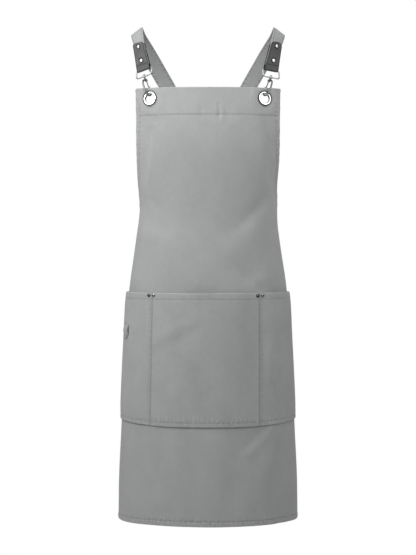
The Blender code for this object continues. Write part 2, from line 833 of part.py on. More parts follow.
def make_tab(side, place, cutters):
    """One leather strip folded round the ring's upper bar, with the strap between its layers."""
    name = "leather_tab_left" if side < 0 else "leather_tab_right"
    beside = STRAP / 2 + 2 * SEWN_GAP + TAB / 2
    at_bar = WIRE + BAR_CLEAR + TAB / 2
    stops = tab_stops(side)[::-1] + [STRAP_START, 0.003]
    path = []
    for walked in stops:
        share = float(smooth_step(1.0 - walked / TAB_EASE))
        path.append((walked, beside + (at_bar - beside) * share))
    bend = [(-at_bar * math.cos(a), at_bar * math.sin(a)) for a in np.radians([90, 45, 0, -45, -90])]
    path = path + bend + [(walked, -out) for walked, out in path[::-1]]
    rows = []
    for walked, out in path:
        half = tab_half_width(side, max(0.0, walked))
        middle, across, outward, ahead = strap_frame(side, max(0.0, walked))
        middle = middle + ahead * min(0.0, walked)
        rows.append([middle + across * half * s + outward * out for s in (-1, 0, 1)])
    made = grid_object(name, rows, place, flip=side > 0)
    thicken(made, TAB, 0.0)
    bore(made, rods(name + "_cutter", tab_rivet_ends(side), RIVET_SHANK + RIVET_CLEAR, 10, cutters))
    return made


def make_tab_rivets(side, place):
    made = []
    word = "left" if side < 0 else "right"
    reach = STRAP / 2 + 2 * SEWN_GAP + TAB
    for level, walked in zip(("lower", "upper"), TAB_RIVETS[side]):
        middle, _, outward, _ = strap_frame(side, walked)
        name = f"strap_rivet_{word}_{level}"
        made.append(rivet(name, middle, outward, -reach, reach, RIVET_HEAD, place))
    return made


def hook_frame(side):
    """Foot, up, front and sideways directions of one hook, and its lower bar's middle."""
    _, out, back, up, turn = next(row for row in RINGS if row[0] == side)
    bar = np.array([side * out, back, BIB_TOP_Z + up])
    across, down, centre, facing = eyelet_plane(side)
    level = np.cross([0.0, 0.0, 1.0], facing)
    level /= np.linalg.norm(level)
    outer = level if level[0] * side > 0 else -level
    steep = np.cross(level, facing)
    steep = steep if steep[2] > 0 else -steep
    foot = centre - facing * FOLDED_CLOTH / 2 + outer * HOOK_SEAT[0] + steep * HOOK_SEAT[1]
    rising = (bar - foot) / np.linalg.norm(bar - foot)
    front = facing - rising * (facing @ rising)
    front /= np.linalg.norm(front)
    swing = Matrix.Rotation(math.radians(side * turn), 3, Vector(rising))
    front = np.array(swing @ Vector(front))
    return foot, rising, front, np.cross(front, rising), bar


def hook_point(side, ahead, up, aside=0.0):
    foot, rising, front, sideways, _ = hook_frame(side)
    return foot + rising * up + front * ahead + sideways * aside


def hook_length(side):
    foot, _, _, _, bar = hook_frame(side)
    return float(np.linalg.norm(bar - foot))


def make_ring(side, place, cutters):
    """A wire loop with rounded corners; its lower bar carries the collar of the swivel."""
    name = "ring_left" if side < 0 else "ring_right"
    upper, across, _, _ = strap_frame(side, 0.0)
    bar = hook_frame(side)[4]
    down = bar - upper
    down = down - across * (down @ across)
    height = float(np.linalg.norm(down))
    down = down / height
    half = TAB_WIDTH / 2 + RING_SIDE_GAP + WIRE
    points = []
    for turn_from, end, level, corner in (
        (90, half, 0.0, RING_UPPER_CORNER),
        (0, half, height, RING_LOWER_CORNER),
        (-90, -half, height, RING_LOWER_CORNER),
        (-180, -half, 0.0, RING_UPPER_CORNER),
    ):
        middle = end - math.copysign(corner, end)
        low = corner if level == 0.0 else level - corner
        for step in range(4):
            angle = math.radians(turn_from - 30.0 * step)
            sideways = middle + corner * math.cos(angle)
            points.append(upper + across * sideways + down * (low - corner * math.sin(angle)))
    made = bent_wire(name, points, WIRE, None, True, place)
    _, rising, _, _, _ = hook_frame(side)
    collar = [(bar - rising * COLLAR_HALF, bar + rising * COLLAR_HALF)]
    join_solid(made, rods(name + "_collar", collar, COLLAR, 12, cutters))
    clear = [(bar - rising * 0.008, bar + rising * 0.008)]
    bore(made, rods(name + "_cutter", clear, STEM + STEM_CLEAR, 12, cutters))
    return made


def make_hook(side, place, cutters):
    """The bent body with its nose, the swivel stem with its head, and the gate's two cheeks."""
    name = "hook_left" if side < 0 else "hook_right"
    top = hook_length(side)
    points = [hook_point(side, front, up) for front, up, _ in HOOK_BODY]
    shares = [share for _, _, share in HOOK_BODY]
    made = bent_wire(name, points, HOOK_WIRE, shares, False, place)
    wide = EYE_HALF + PIN_CLEAR + CHEEK
    start = HOOK_BODY[0]
    broad = wide + 0.15 * MM
    head = [(hook_point(side, 0.0004, start[1], -broad), hook_point(side, 0.0004, start[1], broad))]
    join_solid(made, rods(name + "_head", head, HOOK_HEAD, 16, cutters))
    cheeks = [(hook_point(side, *GATE_PIN, -wide), hook_point(side, *GATE_PIN, wide))]
    join_solid(made, rods(name + "_cheeks", cheeks, GATE_EYE, 16, cutters))
    half = EYE_HALF + PIN_CLEAR
    slot = [(hook_point(side, *GATE_PIN, -half), hook_point(side, *GATE_PIN, half))]
    bore(made, rods(name + "_slot", slot, GATE_EYE + PIN_CLEAR, 16, cutters))
    middle = EYE_HALF + PIN_CLEAR + CHEEK / 2
    pin = [(hook_point(side, *GATE_PIN, -middle), hook_point(side, *GATE_PIN, middle))]
    join_solid(made, rods(name + "_pin", pin, PIN, 12, cutters))
    high = top + COLLAR_HALF + STEM_CLEAR
    stem = [(hook_point(side, 0.0, start[1] + 0.0005), hook_point(side, 0.0, high + 0.0006))]
    join_solid(made, rods(name + "_stem", stem, STEM, 12, cutters))
    button = [(hook_point(side, 0.0, high), hook_point(side, 0.0, high + 0.0013))]
    join_solid(made, rods(name + "_button", button, STEM * 1.9, 12, cutters))
    return made


def make_gate(side, place, cutters):
    """A straight bar with an eye on the hook's pin, resting inside the hook's nose."""
    name = "gate_left" if side < 0 else "gate_right"
    points = [hook_point(side, *GATE_END), hook_point(side, GATE_PIN[0] - 0.0002, GATE_PIN[1] - 0.0012)]
    made = bent_wire(name, points, GATE_WIRE, None, False, place)
    eye = [(hook_point(side, *GATE_PIN, -EYE_HALF), hook_point(side, *GATE_PIN, EYE_HALF))]
    join_solid(made, rods(name + "_eye", eye, GATE_EYE, 16, cutters))
    clear = [(hook_point(side, *GATE_PIN, -0.004), hook_point(side, *GATE_PIN, 0.004))]
    bore(made, rods(name + "_cutter", clear, PIN + PIN_CLEAR, 12, cutters))
    return made


def make_side_loop(place):
    """A strip of the apron's cloth, sewn flat at both ends and bowed out between them."""
    rows = []
    low, high = LOOP_DOWN
    stops = [low, low + LOOP_SEWN * 0.5, low + LOOP_SEWN]
    stops += list(np.linspace(low + LOOP_SEWN + 0.003, high - LOOP_SEWN - 0.003, 6))
    stops += [high - LOOP_SEWN, high - LOOP_SEWN * 0.5, high]
    for down in stops:
        share = (down - low - LOOP_SEWN) / (high - low - 2 * LOOP_SEWN)
        bow = math.sin(math.pi * min(1.0, max(0.0, share))) ** 1.2 if 0 < share < 1 else 0.0
        row = []
        for across in np.linspace(LOOP_ACROSS[1], LOOP_ACROSS[0], 5):
            out = pocket_out(-across, down) + POCKET_CLOTH + SEWN_GAP + LOOP_BOW * bow
            row.append(cloth_point(-across, down, out))
        rows.append(row)
    made = grid_object("side_loop", rows, place)
    thicken(made, LOOP_CLOTH, 1.0)
    return made


def paint(made, kind):
    made.data.materials.append(material(made.name, kind))


def build():
    clear_scene()
    place = collection("cross_back_apron")
    cutters = collection("cutters")
    paint(make_top_band(place, cutters), "canvas")
    paint(make_bib(place, cutters), "canvas")
    paint(make_skirt(place), "canvas")
    paint(make_pocket(place, cutters), "canvas")
    paint(make_side_loop(place), "canvas")
    for piece in make_pocket_rivets(place):
        paint(piece, "nickel")
    for side in (-1, 1):
        paint(make_strap(side, place, cutters), "canvas")
        paint(make_tab(side, place, cutters), "leather")
        paint(make_eyelet(side, place), "nickel")
        paint(make_ring(side, place, cutters), "nickel")
        paint(make_hook(side, place, cutters), "nickel")
        paint(make_gate(side, place, cutters), "nickel")
        for piece in make_tab_rivets(side, place):
            paint(piece, "nickel")


build()
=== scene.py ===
"""The look of the cross back apron: cloth, stitches, leather, metal, floor, light and camera.

The pieces take their places from the same tables as the solids: places on the apron's flat
cut are given as a distance across and a distance down from the bib's top. Lengths are metres,
but mm() takes millimetres. Side -1 is the picture's left and side 1 its right.
"""
import functools
import math

import bpy
import numpy as np
from mathutils import Matrix, Vector


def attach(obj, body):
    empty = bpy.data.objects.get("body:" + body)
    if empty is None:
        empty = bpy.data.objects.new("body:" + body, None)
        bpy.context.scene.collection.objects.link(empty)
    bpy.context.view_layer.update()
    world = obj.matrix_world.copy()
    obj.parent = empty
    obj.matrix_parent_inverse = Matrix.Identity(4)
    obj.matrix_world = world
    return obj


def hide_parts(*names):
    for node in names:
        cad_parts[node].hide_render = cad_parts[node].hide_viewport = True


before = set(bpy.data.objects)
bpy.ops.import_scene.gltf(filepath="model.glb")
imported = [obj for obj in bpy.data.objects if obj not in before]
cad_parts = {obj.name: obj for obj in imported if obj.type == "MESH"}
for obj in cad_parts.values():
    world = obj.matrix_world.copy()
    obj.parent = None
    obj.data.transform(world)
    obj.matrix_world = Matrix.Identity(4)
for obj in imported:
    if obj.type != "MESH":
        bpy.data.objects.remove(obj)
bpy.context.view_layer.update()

MM = 0.001
ROOT = "apron"
SIDES = (-1, 1)
WORDS = {-1: "left", 1: "right"}


def mm(*values):
    return np.array(values) * MM


# The cut of the apron. The bottom hem is the narrow one whose stitches show.
APRON_LENGTH = 0.860
APRON_HALF_WIDTH = 0.360
BIB_HALF_WIDTH = 0.1522
BIB_CORNER = 3.0 * MM
ARMHOLE_DEPTH = 0.330
ARMHOLE_POWER = 2.3
TOP_BAND = 0.055
SIDE_HEM = 0.011
BOTTOM_HEM = 0.0105
HEM_LINE = APRON_LENGTH - BOTTOM_HEM
WIDEST = APRON_HALF_WIDTH - SIDE_HEM
CLOTH = 1.2 * MM
FOLDED_CLOTH = 2.4 * MM
SEWN_GAP = 0.3 * MM
BIB_TOP_Z = -0.118

# The worn form's sections, in mm: down, half width, y at the front, side and back, squareness
FORM = np.array((
    (0, 169.5, -98, 2, 112, 2.30),
    (55, 166.5, -111, 3, 114, 2.30),
    (110, 159.0, -118, 4, 114, 2.30),
    (165, 147.5, -116, 4, 110, 2.28),
    (218, 139.3, -112, 4, 104, 2.26),
    (243, 138.2, -111, 4, 102, 2.25),
    (267, 140.0, -111, 4, 103, 2.24),
    (291, 143.7, -112, 5, 106, 2.23),
    (340, 151.0, -116, 6, 114, 2.20),
    (388, 157.8, -120, 7, 120, 2.18),
    (510, 166.0, -124, 8, 128, 2.16),
    (607, 171.6, -126, 9, 130, 2.14),
    (679, 174.9, -127, 10, 132, 2.12),
    (776, 179.6, -129, 11, 134, 2.10),
    (860, 181.0, -130, 12, 134, 2.10),
)) * (MM, MM, MM, MM, MM, 1.0)

# Folds, from one place on the cut to another: across, down, across, down, spread and height.
# The solids have FOLDS. The look adds SMALL_FOLDS and POCKET_FOLDS, deepened by FOLD_DEPTH.
FOLD_DEPTH = (1.0, 1.0, 1.0, 1.0, 1.0, 1.7)
FOLDS = mm(
    (-118, 80, -150, 165, 13, -1.6),
    (-104, 90, -140, 200, 15, 1.6),
    (118, 85, 150, 165, 13, -2.2),
    (104, 90, 140, 200, 15, 1.8),
    (160, 205, 75, 270, 22, -3.4),
    (165, 240, 60, 310, 22, 3.0),
    (-160, 235, -90, 270, 24, -2.0),
    (-150, 280, -60, 330, 26, 2.0),
    (150, 330, 80, 350, 26, -2.2),
    (175, 500, 180, 640, 20, -3.0),
    (145, 690, 105, 780, 20, 3.6),
    (185, 700, 175, 860, 22, -3.6),
    (-170, 720, -180, 860, 26, 2.6),
    (-110, 740, -105, 860, 30, -2.4),
    (10, 720, 20, 860, 30, 2.2),
    (300, 520, 320, 860, 30, 6.0),
    (-300, 520, -325, 860, 30, 6.0),
)
SMALL_FOLDS = FOLD_DEPTH * mm(
    (-13, 43, -14, 58, 3.0, -0.9),
    (21.5, 38, 22.5, 56, 2.8, -1.3),
    (26.5, 40, 27, 60, 3.5, 0.8),
    (-130, 62, -90, 64, 4.0, -0.4),
    (100, 61, 138, 60, 4.0, -0.4),
    (20, 70, 45, 74, 8.0, 0.6),
    (120, 75, 134, 112, 7.5, -1.3),
    (126, 140, 140, 182, 7.5, -1.3),
    (-117, 85, -133, 165, 6.0, -1.0),
    (-108, 90, -124, 165, 6.0, 0.7),
    (118, 222, 80, 258, 8.0, -1.1),
    (142, 236, 78, 284, 9.0, 1.0),
    (-125, 222, -100, 232, 8.0, -0.7),
    (-128, 290, -80, 300, 11.0, 0.7),
    (125, 372, 98, 384, 7.0, 0.9),
    (75, 372, 105, 392, 7.0, -0.8),
    (-60, 360, -20, 385, 12.0, 0.6),
    (128, 672, 86, 716, 7.5, 1.3),
    (118, 670, 82, 700, 6.5, -1.0),
    (-140, 672, -152, 760, 12.0, -1.0),
    (-60, 672, -80, 800, 14.0, 0.9),
    (60, 690, 45, 840, 13.0, -1.0),
    (150, 760, 155, 855, 9.0, -1.2),
    (-30, 700, -35, 850, 12.0, -0.7),
)
POCKET_FOLDS = FOLD_DEPTH * mm(
    (-50, 462, -46, 500, 9.0, -1.0),
    (-118, 505, -32, 462, 9.5, 0.8),
    (-112, 522, -30, 480, 10.0, -0.4),
    (-22, 560, -12, 600, 10.0, -1.0),
    (123, 520, 127, 570, 7.0, 1.2),
    (150, 570, 165, 625, 8.0, -1.4),
    (60, 430, 66, 480, 11.0, 0.8),
    (-160, 450, -150, 560, 11.0, -0.8),
    (20, 620, 30, 655, 8.0, 0.7),
    (-70, 600, -60, 655, 9.0, 0.8),
    (210, 430, 220, 640, 16.0, 1.2),
    (-215, 430, -222, 640, 16.0, 1.2),
)
ALL_FOLDS = np.concatenate([FOLDS, SMALL_FOLDS])
SECOND_CREASE = 0.0655

# The pocket, with its two seams' distances from the centre at the top and bottom
POCKET_HALF_WIDTH = 0.275
POCKET_TOP = 0.4045
POCKET_BOTTOM = 0.6655
POCKET_HEIGHT = POCKET_BOTTOM - POCKET_TOP
POCKET_HEM = 0.012
POCKET_FOOT = 8.4 * MM
POCKET_SIDE_LINE = 3.0 * MM
POCKET_CLOTH = 1.5 * MM
POCKET_FOLDED = 2.1 * MM
POCKET_END_RISE_TOP = 1.2 * MM
POCKET_END_RISE_BOTTOM = 7.5 * MM
POCKET_LEVEL_PART = 0.05
SEAMS = {-1: (0.1158, 0.1208), 1: (0.1062, 0.1060)}
CENTRE_BULGE = 8.5 * MM
SIDE_BULGE = 4.6 * MM
SEAM_FLAT = 9.0 * MM
SEAM_STITCHES = 2.6 * MM
FACET_CLEAR = 1.0 * MM

# Eyelets: across and down
EYELETS = {-1: (0.1176, 0.0213), 1: (0.1145, 0.0213)}
EYELET_OUTER = 14.8 * MM
EYELET_BORE = 9.8 * MM
EYELET_ROLL = 1.1 * MM
EYELET_FLAT = 21.0 * MM
EYELET_BLEND = 36.0 * MM
EYELET_CUT = 11.6 * MM

# Straps: rows of out, back and up in mm, then the way across as in, front and up
STRAP_WIDTH = 0.032
STRAP = 2.2 * MM
STRAP_START = 8.5 * MM
STRAP_LINE = 2.6 * MM
STRAP_FRONT = {
    -1: (
        (126.8, -61, 37.9, 0.785, 0.575, 0.230),
        (132.2, -54, 64.0, 0.705, 0.700, 0.120),
        (137.6, -44, 89.5, 0.665, 0.740, 0.070),
    ),
    1: (
        (124.3, -61, 37.0, 0.850, 0.515, 0.103),
        (129.9, -54, 64.0, 0.735, 0.670, 0.100),
        (135.8, -43, 90.5, 0.670, 0.735, 0.100),
    ),
}
STRAP_OVER = (
    (141.2, -31, 108.0, 0.710, 0.600, 0.290),
    (143.2, -11, 119.0, 0.720, 0.500, 0.470),
    (138.5, 23, 107.0, 0.800, 0.300, 0.510),
    (122.5, 56, 82.2, 0.850, 0.120, 0.510),
    (99.8, 85, 44.5, 0.860, 0.040, 0.500),
    (80.6, 100, 11.6, 0.860, 0.000, 0.500),
    (51.0, 113, -45.0, 0.870, -0.050, 0.480),
    (0.0, 118, -140.0, 0.880, 0.000, 0.450),
    (-38.0, 108.5, -220.0, 0.890, 0.050, 0.430),
)
STRAP_SCALE = (MM, MM, MM, 1.0, 1.0, 1.0)
CROSSING_ROW = 7
STRAP_CROSSING_LIFT = 2.3 * MM
STRAP_END = ((0.354, 0.294, 0.420), (0.336, 0.362, 0.380))
STRAP_END_DEPTH = 2.2 * MM

# Leather tabs and their rivets
TAB_WIDTH = 0.0332
TAB = 1.4 * MM
TAB_LENGTH = {-1: 0.0585, 1: 0.0615}
TAB_CORNER = {-1: 7.0 * MM, 1: 12.0 * MM}
TAB_EASE = 8.0 * MM
TAB_CREASE = 9.5 * MM
BAR_CLEAR = 0.4 * MM
TAB_RIVETS = {-1: (0.0185, 0.0490), 1: (0.0195, 0.0515)}
RIVET_HEAD = 4.2 * MM
RIVET_DOME = 1.3 * MM
RIVET_SHANK = 1.4 * MM
RIVET_CLEAR = 0.3 * MM
RIVET_WASHER = 1.0 * MM

# Rings (out, back, up and the hook's turn in degrees), hooks and gates. A hook's body is rows
# of front and up in mm and a share of its wire's thickness.
WIRE = 1.3 * MM
RINGS = {-1: (0.1258, -0.0670, 0.0234, 24.0), 1: (0.1240, -0.0670, 0.0212, 22.0)}
RING_SIDE_GAP = 1.2 * MM
RING_UPPER_CORNER = 2.4 * MM
RING_LOWER_CORNER = 5.0 * MM
COLLAR = 2.7 * MM
COLLAR_HALF = 2.4 * MM
STEM = 1.2 * MM
STEM_CLEAR = 0.3 * MM
HOOK_WIRE = 1.6 * MM
HOOK_SEAT = (2.4 * MM, 6.4 * MM)
HOOK_BODY = np.array((
    (0.4, 34.2, 1.10),
    (4.0, 33.2, 1.00),
    (6.7, 30.6, 1.00),
    (7.9, 26.2, 1.05),
    (8.3, 20.5, 1.15),
    (8.4, 14.0, 1.15),
    (8.2, 9.0, 1.05),
    (7.1, 4.4, 1.00),
    (4.3, 1.0, 1.00),
    (0.0, 0.0, 1.00),
    (-4.0, 1.2, 1.00),
    (-6.3, 4.6, 0.95),
    (-6.8, 9.5, 0.90),
    (-6.8, 15.0, 0.85),
    (-6.6, 19.0, 0.65),
)) * (MM, MM, 1.0)
GATE_PIN = mm(-2.4, 32.6)
GATE_HEAD = mm(-2.6, 31.8)
GATE_END = mm(-3.6, 18.3)
GATE_WIRE = 1.05 * MM
GATE_EYE = 2.0 * MM
PIN = 0.85 * MM
PIN_CLEAR = 0.3 * MM
EYE_HALF = 1.05 * MM
CHEEK = 0.9 * MM
CHEEK_STEP = mm(1.4, 0.8)
HOOK_HEAD = 2.3 * MM

# Pocket rivets: distance from the centre line, distance below the pocket's top and metal. All four are
# the same silver studs; the left outer and right inner ones take the darker metal as painted shade for
# their tilt away from the light.
POCKET_RIVETS = {
    "left_outer": (-0.1217, 4.5 * MM, "dark_and_shaded_nickel"),
    "left_inner": (-0.1108, 4.1 * MM, "grey_nickel"),
    "right_inner": (0.0998, 5.0 * MM, "dark_and_shaded_nickel"),
    "right_outer": (0.1108, 4.5 * MM, "grey_nickel"),
}
POCKET_RIVET_HEAD = 4.0 * MM

# The loop on the pocket's side
LOOP_ACROSS = (0.178, 0.204)
LOOP_DOWN = (0.4625, 0.4965)
LOOP_BOW = 2.5 * MM
LOOP_CORNER = 13.0 * MM
LOOP_SEWN = 6.0 * MM
LOOP_LINE = 3.0 * MM
LOOP_CLOTH = 1.6 * MM

# Stitches, and how the cloth shows a seam: its puckers' length, and how much fainter the painted groove
# shade is along lines whose groove is shallow. FAR is the distance that stands for no seam nearby.
STITCH_PITCH = 3.6 * MM
STITCH_LENGTH = 2.9 * MM
THREAD = 0.33 * MM
THREAD_LIFT = 0.10 * MM
PUCKER_LENGTH = 9.0 * MM
FAINT = 0.8 * MM
FAR = 0.02

# The camera stands where the photograph was taken from; its frame is measured at the front.
CAMERA_BACK = 3.515
CAMERA_Z = -0.4476
FRONT_DISTANCE = 3.4
AIM_DROP = 0.0439
CAMERA_PITCH = AIM_DROP / FRONT_DISTANCE
POINTS_HIGH = 555
POINT_SIZE = 0.001952
PICTURE_HIGH = POINTS_HIGH * POINT_SIZE
SENSOR = 36.0

# Lights: place, aim, size and energy
LIGHTS = {
    "key": ((-0.90, -0.64, 0.24), (0.0, 0.0, -0.15), 0.9, 12.9),
    "fill": ((0.90, -0.66, 0.26), (0.0, 0.0, 0.30), 0.9, 6.2),
    "top": ((0.10, -1.20, 0.60), (0.0, 0.0, -0.10), 1.0, 4.0),
    "back": ((0.60, 1.50, 0.50), (0.0, 0.0, -0.50), 1.4, 11.0),
}
FLOOR_RADIUS = 2.15
FLOOR_SIDES = 128
FLOOR_Z = -1.43
WORLD_LOW = 0.08
WORLD_HIGH = 0.46

# Colours
CANVAS_LIGHT = (0.412, 0.418, 0.416)
CANVAS_DARK = (0.335, 0.341, 0.341)
CANVAS_WORN = (0.520, 0.525, 0.520)
# Painted shade for the canvas: the colour laid into seam grooves, pucker valleys and the line beside each
# eyelet.
CANVAS_PAINTED_SHADE = (0.105, 0.108, 0.108)
THREAD_PITCHES = {"canvas": 0.62 * MM, "strap_canvas": 0.70 * MM}
THREAD_DARK = (0.300, 0.305, 0.305)
THREAD_LIGHT = (0.430, 0.435, 0.432)
THREAD_WASHED = (0.36, 0.365, 0.362)
BLACK = (0.012, 0.012, 0.012)
PORE = (0.035, 0.035, 0.035)
# Both tabs are the same leather: the right one's darker colours are painted shade for the side away from
# the light.
LEATHERS = {
    "leather_left": ((0.135, 0.137, 0.136), (0.085, 0.086, 0.085)),
    "leather_right": ((0.100, 0.102, 0.101), (0.060, 0.061, 0.060)),
}
METALS = {
    "nickel": ((0.86, 0.86, 0.855), (0.70, 0.70, 0.695), 0.16),
    "rivet_nickel": ((0.95, 0.95, 0.945), (0.88, 0.88, 0.875), 0.36),
    "grey_nickel": ((0.46, 0.465, 0.47), (0.32, 0.324, 0.33), 0.22),
    "hook_nickel": ((0.25, 0.253, 0.257), (0.15, 0.152, 0.155), 0.24),
    # Dark nickel for the gates; on the left outer and right inner pocket studs it is painted shade.
    "dark_and_shaded_nickel": ((0.16, 0.163, 0.167), (0.09, 0.092, 0.095), 0.26),
}
FLOOR_GREYS = ((0.84, 0.84, 0.84), (0.88, 0.88, 0.88))


# Shared shape functions


def smooth_step(value):
    value = np.clip(value, 0.0, 1.0)
    return value * value * (3.0 - 2.0 * value)


def unit(vectors):
    return vectors / np.linalg.norm(vectors, axis=-1, keepdims=True)


def bump(distance, spread):
    return np.exp(-((distance / spread) ** 2))


def ridge(distance, height, spread):
    """A ridge along a line, or a groove if its height is below zero; both sizes in mm."""
    return height * MM * bump(distance, spread * MM)


def pair(across, down):
    return np.broadcast_arrays(np.asarray(across, float), np.asarray(down, float))


def together(*values):
    return np.stack(np.broadcast_arrays(*values), axis=-1)


def walk_along(points):
    """The distance walked from the first point to each one."""
    return np.concatenate([[0.0], np.cumsum(np.linalg.norm(np.diff(points, axis=0), axis=1))])


def ring_round(aside, other, steps):
    """Directions round a circle between two directions at right angles."""
    turn = np.linspace(0.0, 2 * math.pi, steps, endpoint=False)[:, None]
    return aside[..., None, :] * np.cos(turn) + other[..., None, :] * np.sin(turn)


def through(knots, rows, at):
    """A smooth curve through rows at the given knots, read at one or more places."""
    at = np.atleast_1d(np.asarray(at, float))
    steps = np.diff(knots)[:, None]
    slopes = np.diff(rows, axis=0) / steps
    near = steps[1:] * slopes[:-1] + steps[:-1] * slopes[1:]
    tangents = np.concatenate([slopes[:1], near / (steps[1:] + steps[:-1]), slopes[-1:]])
    place = np.clip(np.searchsorted(knots, at) - 1, 0, len(steps) - 1)
    span = steps[place]
    inside = np.clip((at - knots[place])[:, None] / span, 0.0, 1.0)
    value = (
        rows[place] * (1 + 2 * inside) * (1 - inside) ** 2
        + tangents[place] * span * inside * (1 - inside) ** 2
        + rows[place + 1] * inside**2 * (3 - 2 * inside)
        + tangents[place + 1] * span * inside**2 * (inside - 1)
    )
    before = np.minimum(at - knots[0], 0.0)[:, None] * tangents[0]
    after = np.maximum(at - knots[-1], 0.0)[:, None] * tangents[-1]
    return value + before + after


LEVEL_STEP = 0.002
PLACE_STEP = 0.001
LEVELS = np.arange(-0.010, APRON_LENGTH + 0.012, LEVEL_STEP)
PLACES = np.arange(0.0, 0.412, PLACE_STEP)


def section_tables():
    """Half sections of the worn form at every level, read at even walks from the middle."""
    turn = np.linspace(0.0, math.pi, 1441)
    xs, ys = [], []
    for half, front, side, back, squareness in through(FORM[:, 0], FORM[:, 1:], LEVELS):
        x = half * np.abs(np.sin(turn)) ** (2.0 / squareness)
        reach = np.abs(np.cos(turn)) ** (2.0 / squareness)
        y = side + (np.where(turn <= math.pi / 2, front, back) - side) * reach
        walked = walk_along(together(x, y))
        xs.append(np.interp(PLACES, walked, x))
        ys.append(np.interp(PLACES, walked, y))
    return np.array(xs), np.array(ys)


FORM_X, FORM_Y = section_tables()


def bare_form(across, down):
    across, down = pair(across, down)
    row = (down - LEVELS[0]) / LEVEL_STEP
    column = np.abs(across) / PLACE_STEP
    i = np.clip(row.astype(int), 0, len(LEVELS) - 2)
    j = np.clip(column.astype(int), 0, len(PLACES) - 2)
    u, v = row - i, column - j

    def mixed(table):
        upper = table[i, j] * (1 - v) + table[i, j + 1] * v
        lower = table[i + 1, j] * (1 - v) + table[i + 1, j + 1] * v
        return upper * (1 - u) + lower * u

    x = mixed(FORM_X) * np.where(across < 0, -1.0, 1.0)
    return together(x, mixed(FORM_Y), BIB_TOP_Z - down)


def normal_of(surface, across, down, step=0.002):
    right = surface(across + step, down) - surface(across - step, down)
    low = surface(across, down + step) - surface(across, down - step)
    return unit(np.cross(low, right))


def fold_height(across, down, folds):
    total = np.zeros(np.broadcast(across, down).shape)
    for across_a, down_a, across_b, down_b, spread, out in folds:
        length = math.hypot(across_b - across_a, down_b - down_a)
        along = ((across_b - across_a) / length, (down_b - down_a) / length)
        dx, dy = across - across_a, down - down_a
        walked = dx * along[0] + dy * along[1]
        aside = dx * along[1] - dy * along[0]
        beyond = np.maximum(0.0, np.maximum(-walked, walked - length))
        total = total + out * np.exp(-0.5 * (aside**2 + (0.7 * beyond) ** 2) / spread**2)
    return total


def folded_form(across, down, folds):
    rise = fold_height(across, down, folds)[..., None]
    return bare_form(across, down) + normal_of(bare_form, across, down) * rise


def cad_form(across, down):
    """The outer face with the solids' folds only, which sets the eyelets' places."""
    return folded_form(across, down, FOLDS)


def eyelet_plane(side):
    across, down = side * EYELETS[side][0], EYELETS[side][1]
    return across, down, cad_form(across, down), normal_of(cad_form, across, down, 0.008)


EYELET_PLANES = {side: eyelet_plane(side) for side in SIDES}


def flattened(point, across, down):
    for middle, level, centre, facing in EYELET_PLANES.values():
        away = np.hypot(across - middle, down - level)
        share = 1.0 - smooth_step((away - EYELET_FLAT) / (EYELET_BLEND - EYELET_FLAT))
        height = ((point - centre) @ facing) * share
        point = point - facing * height[..., None]
    return point


def cad_face(across, down):
    return flattened(cad_form(across, down), across, down)


def outer_face(across, down):
    return flattened(folded_form(across, down, ALL_FOLDS), across, down)


def cloth_point(across, down, out):
    return outer_face(across, down) + normal_of(outer_face, across, down) * out[..., None]


def armhole(curve):
    """Half widths and depths along the armhole, for shares from its top to its foot."""
    half = BIB_HALF_WIDTH + (APRON_HALF_WIDTH - BIB_HALF_WIDTH) * curve
    return half, ARMHOLE_DEPTH * (1.0 - (1.0 - curve) ** 2) ** (1.0 / ARMHOLE_POWER)


def cut_half_width(down):
    share = np.clip(down / ARMHOLE_DEPTH, 0.0, 1.0)
    half = armhole(1.0 - np.sqrt(np.maximum(0.0, 1.0 - share**ARMHOLE_POWER)))[0]
    left = np.clip(BIB_CORNER - down, 0.0, BIB_CORNER)
    return half - (BIB_CORNER - np.sqrt(BIB_CORNER**2 - left**2))


# Mesh helpers


def add_object(name, data):
    made = bpy.data.objects.new(name, data)
    bpy.context.scene.collection.objects.link(made)
    return made


class Shape:
    """Collects points, faces and flat coordinates for one mesh.

    The layer cut holds the place on the flat piece. The layer edge holds the distance to the nearest edge
    and a painted shade. The layer seam holds the distance to the nearest sewn line and its puckers, which
    are above zero along a level line and below zero along an upright one. A face is four points, with its
    last one twice where it has three.
    """

    LAYERS = ("cut", "edge", "seam")

    def __init__(self):
        self.points, self.faces, self.count = [], [], 0
        self.values = {name: [] for name in self.LAYERS}

    def add(self, points, faces, cut=0.0, edge=0.0, seam=(FAR, 0.0)):
        points = np.asarray(points, float)
        self.points.append(points.reshape(-1, 3))
        self.faces += (np.asarray(faces) + self.count).tolist()
        for name, given in zip(self.LAYERS, (cut, edge, seam)):
            given = np.broadcast_to(given, points.shape[:-1] + (2,))
            self.values[name].append(given.reshape(-1, 2))
        self.count += points.size // 3

    def build(self, name, look):
        mesh = bpy.data.meshes.new(name)
        faces = [face[:3] if face[2] == face[3] else face for face in self.faces]
        mesh.from_pydata(np.concatenate(self.points).tolist(), [], faces)
        corner = np.empty(len(mesh.loops), int)
        mesh.loops.foreach_get("vertex_index", corner)
        for layer_name, values in self.values.items():
            layer = mesh.uv_layers.new(name=layer_name)
            layer.data.foreach_set("uv", np.concatenate(values)[corner].ravel())
        mesh.polygons.foreach_set("use_smooth", [True] * len(mesh.polygons))
        mesh.materials.append(MATERIALS[look])
        mesh.update()
        return add_object(name, mesh)


def grid_faces(rows, columns, around=False, flip=False):
    i = np.arange(rows - 1)[:, None]
    j = np.arange(columns if around else columns - 1)[None, :]
    a, b = i * columns + j, i * columns + (j + 1) % columns
    c, d = b + columns, a + columns
    return together(*((a, b, c, d) if flip else (a, d, c, b))).reshape(-1, 4)


ASKEW = (0.31, 0.52, 0.79)


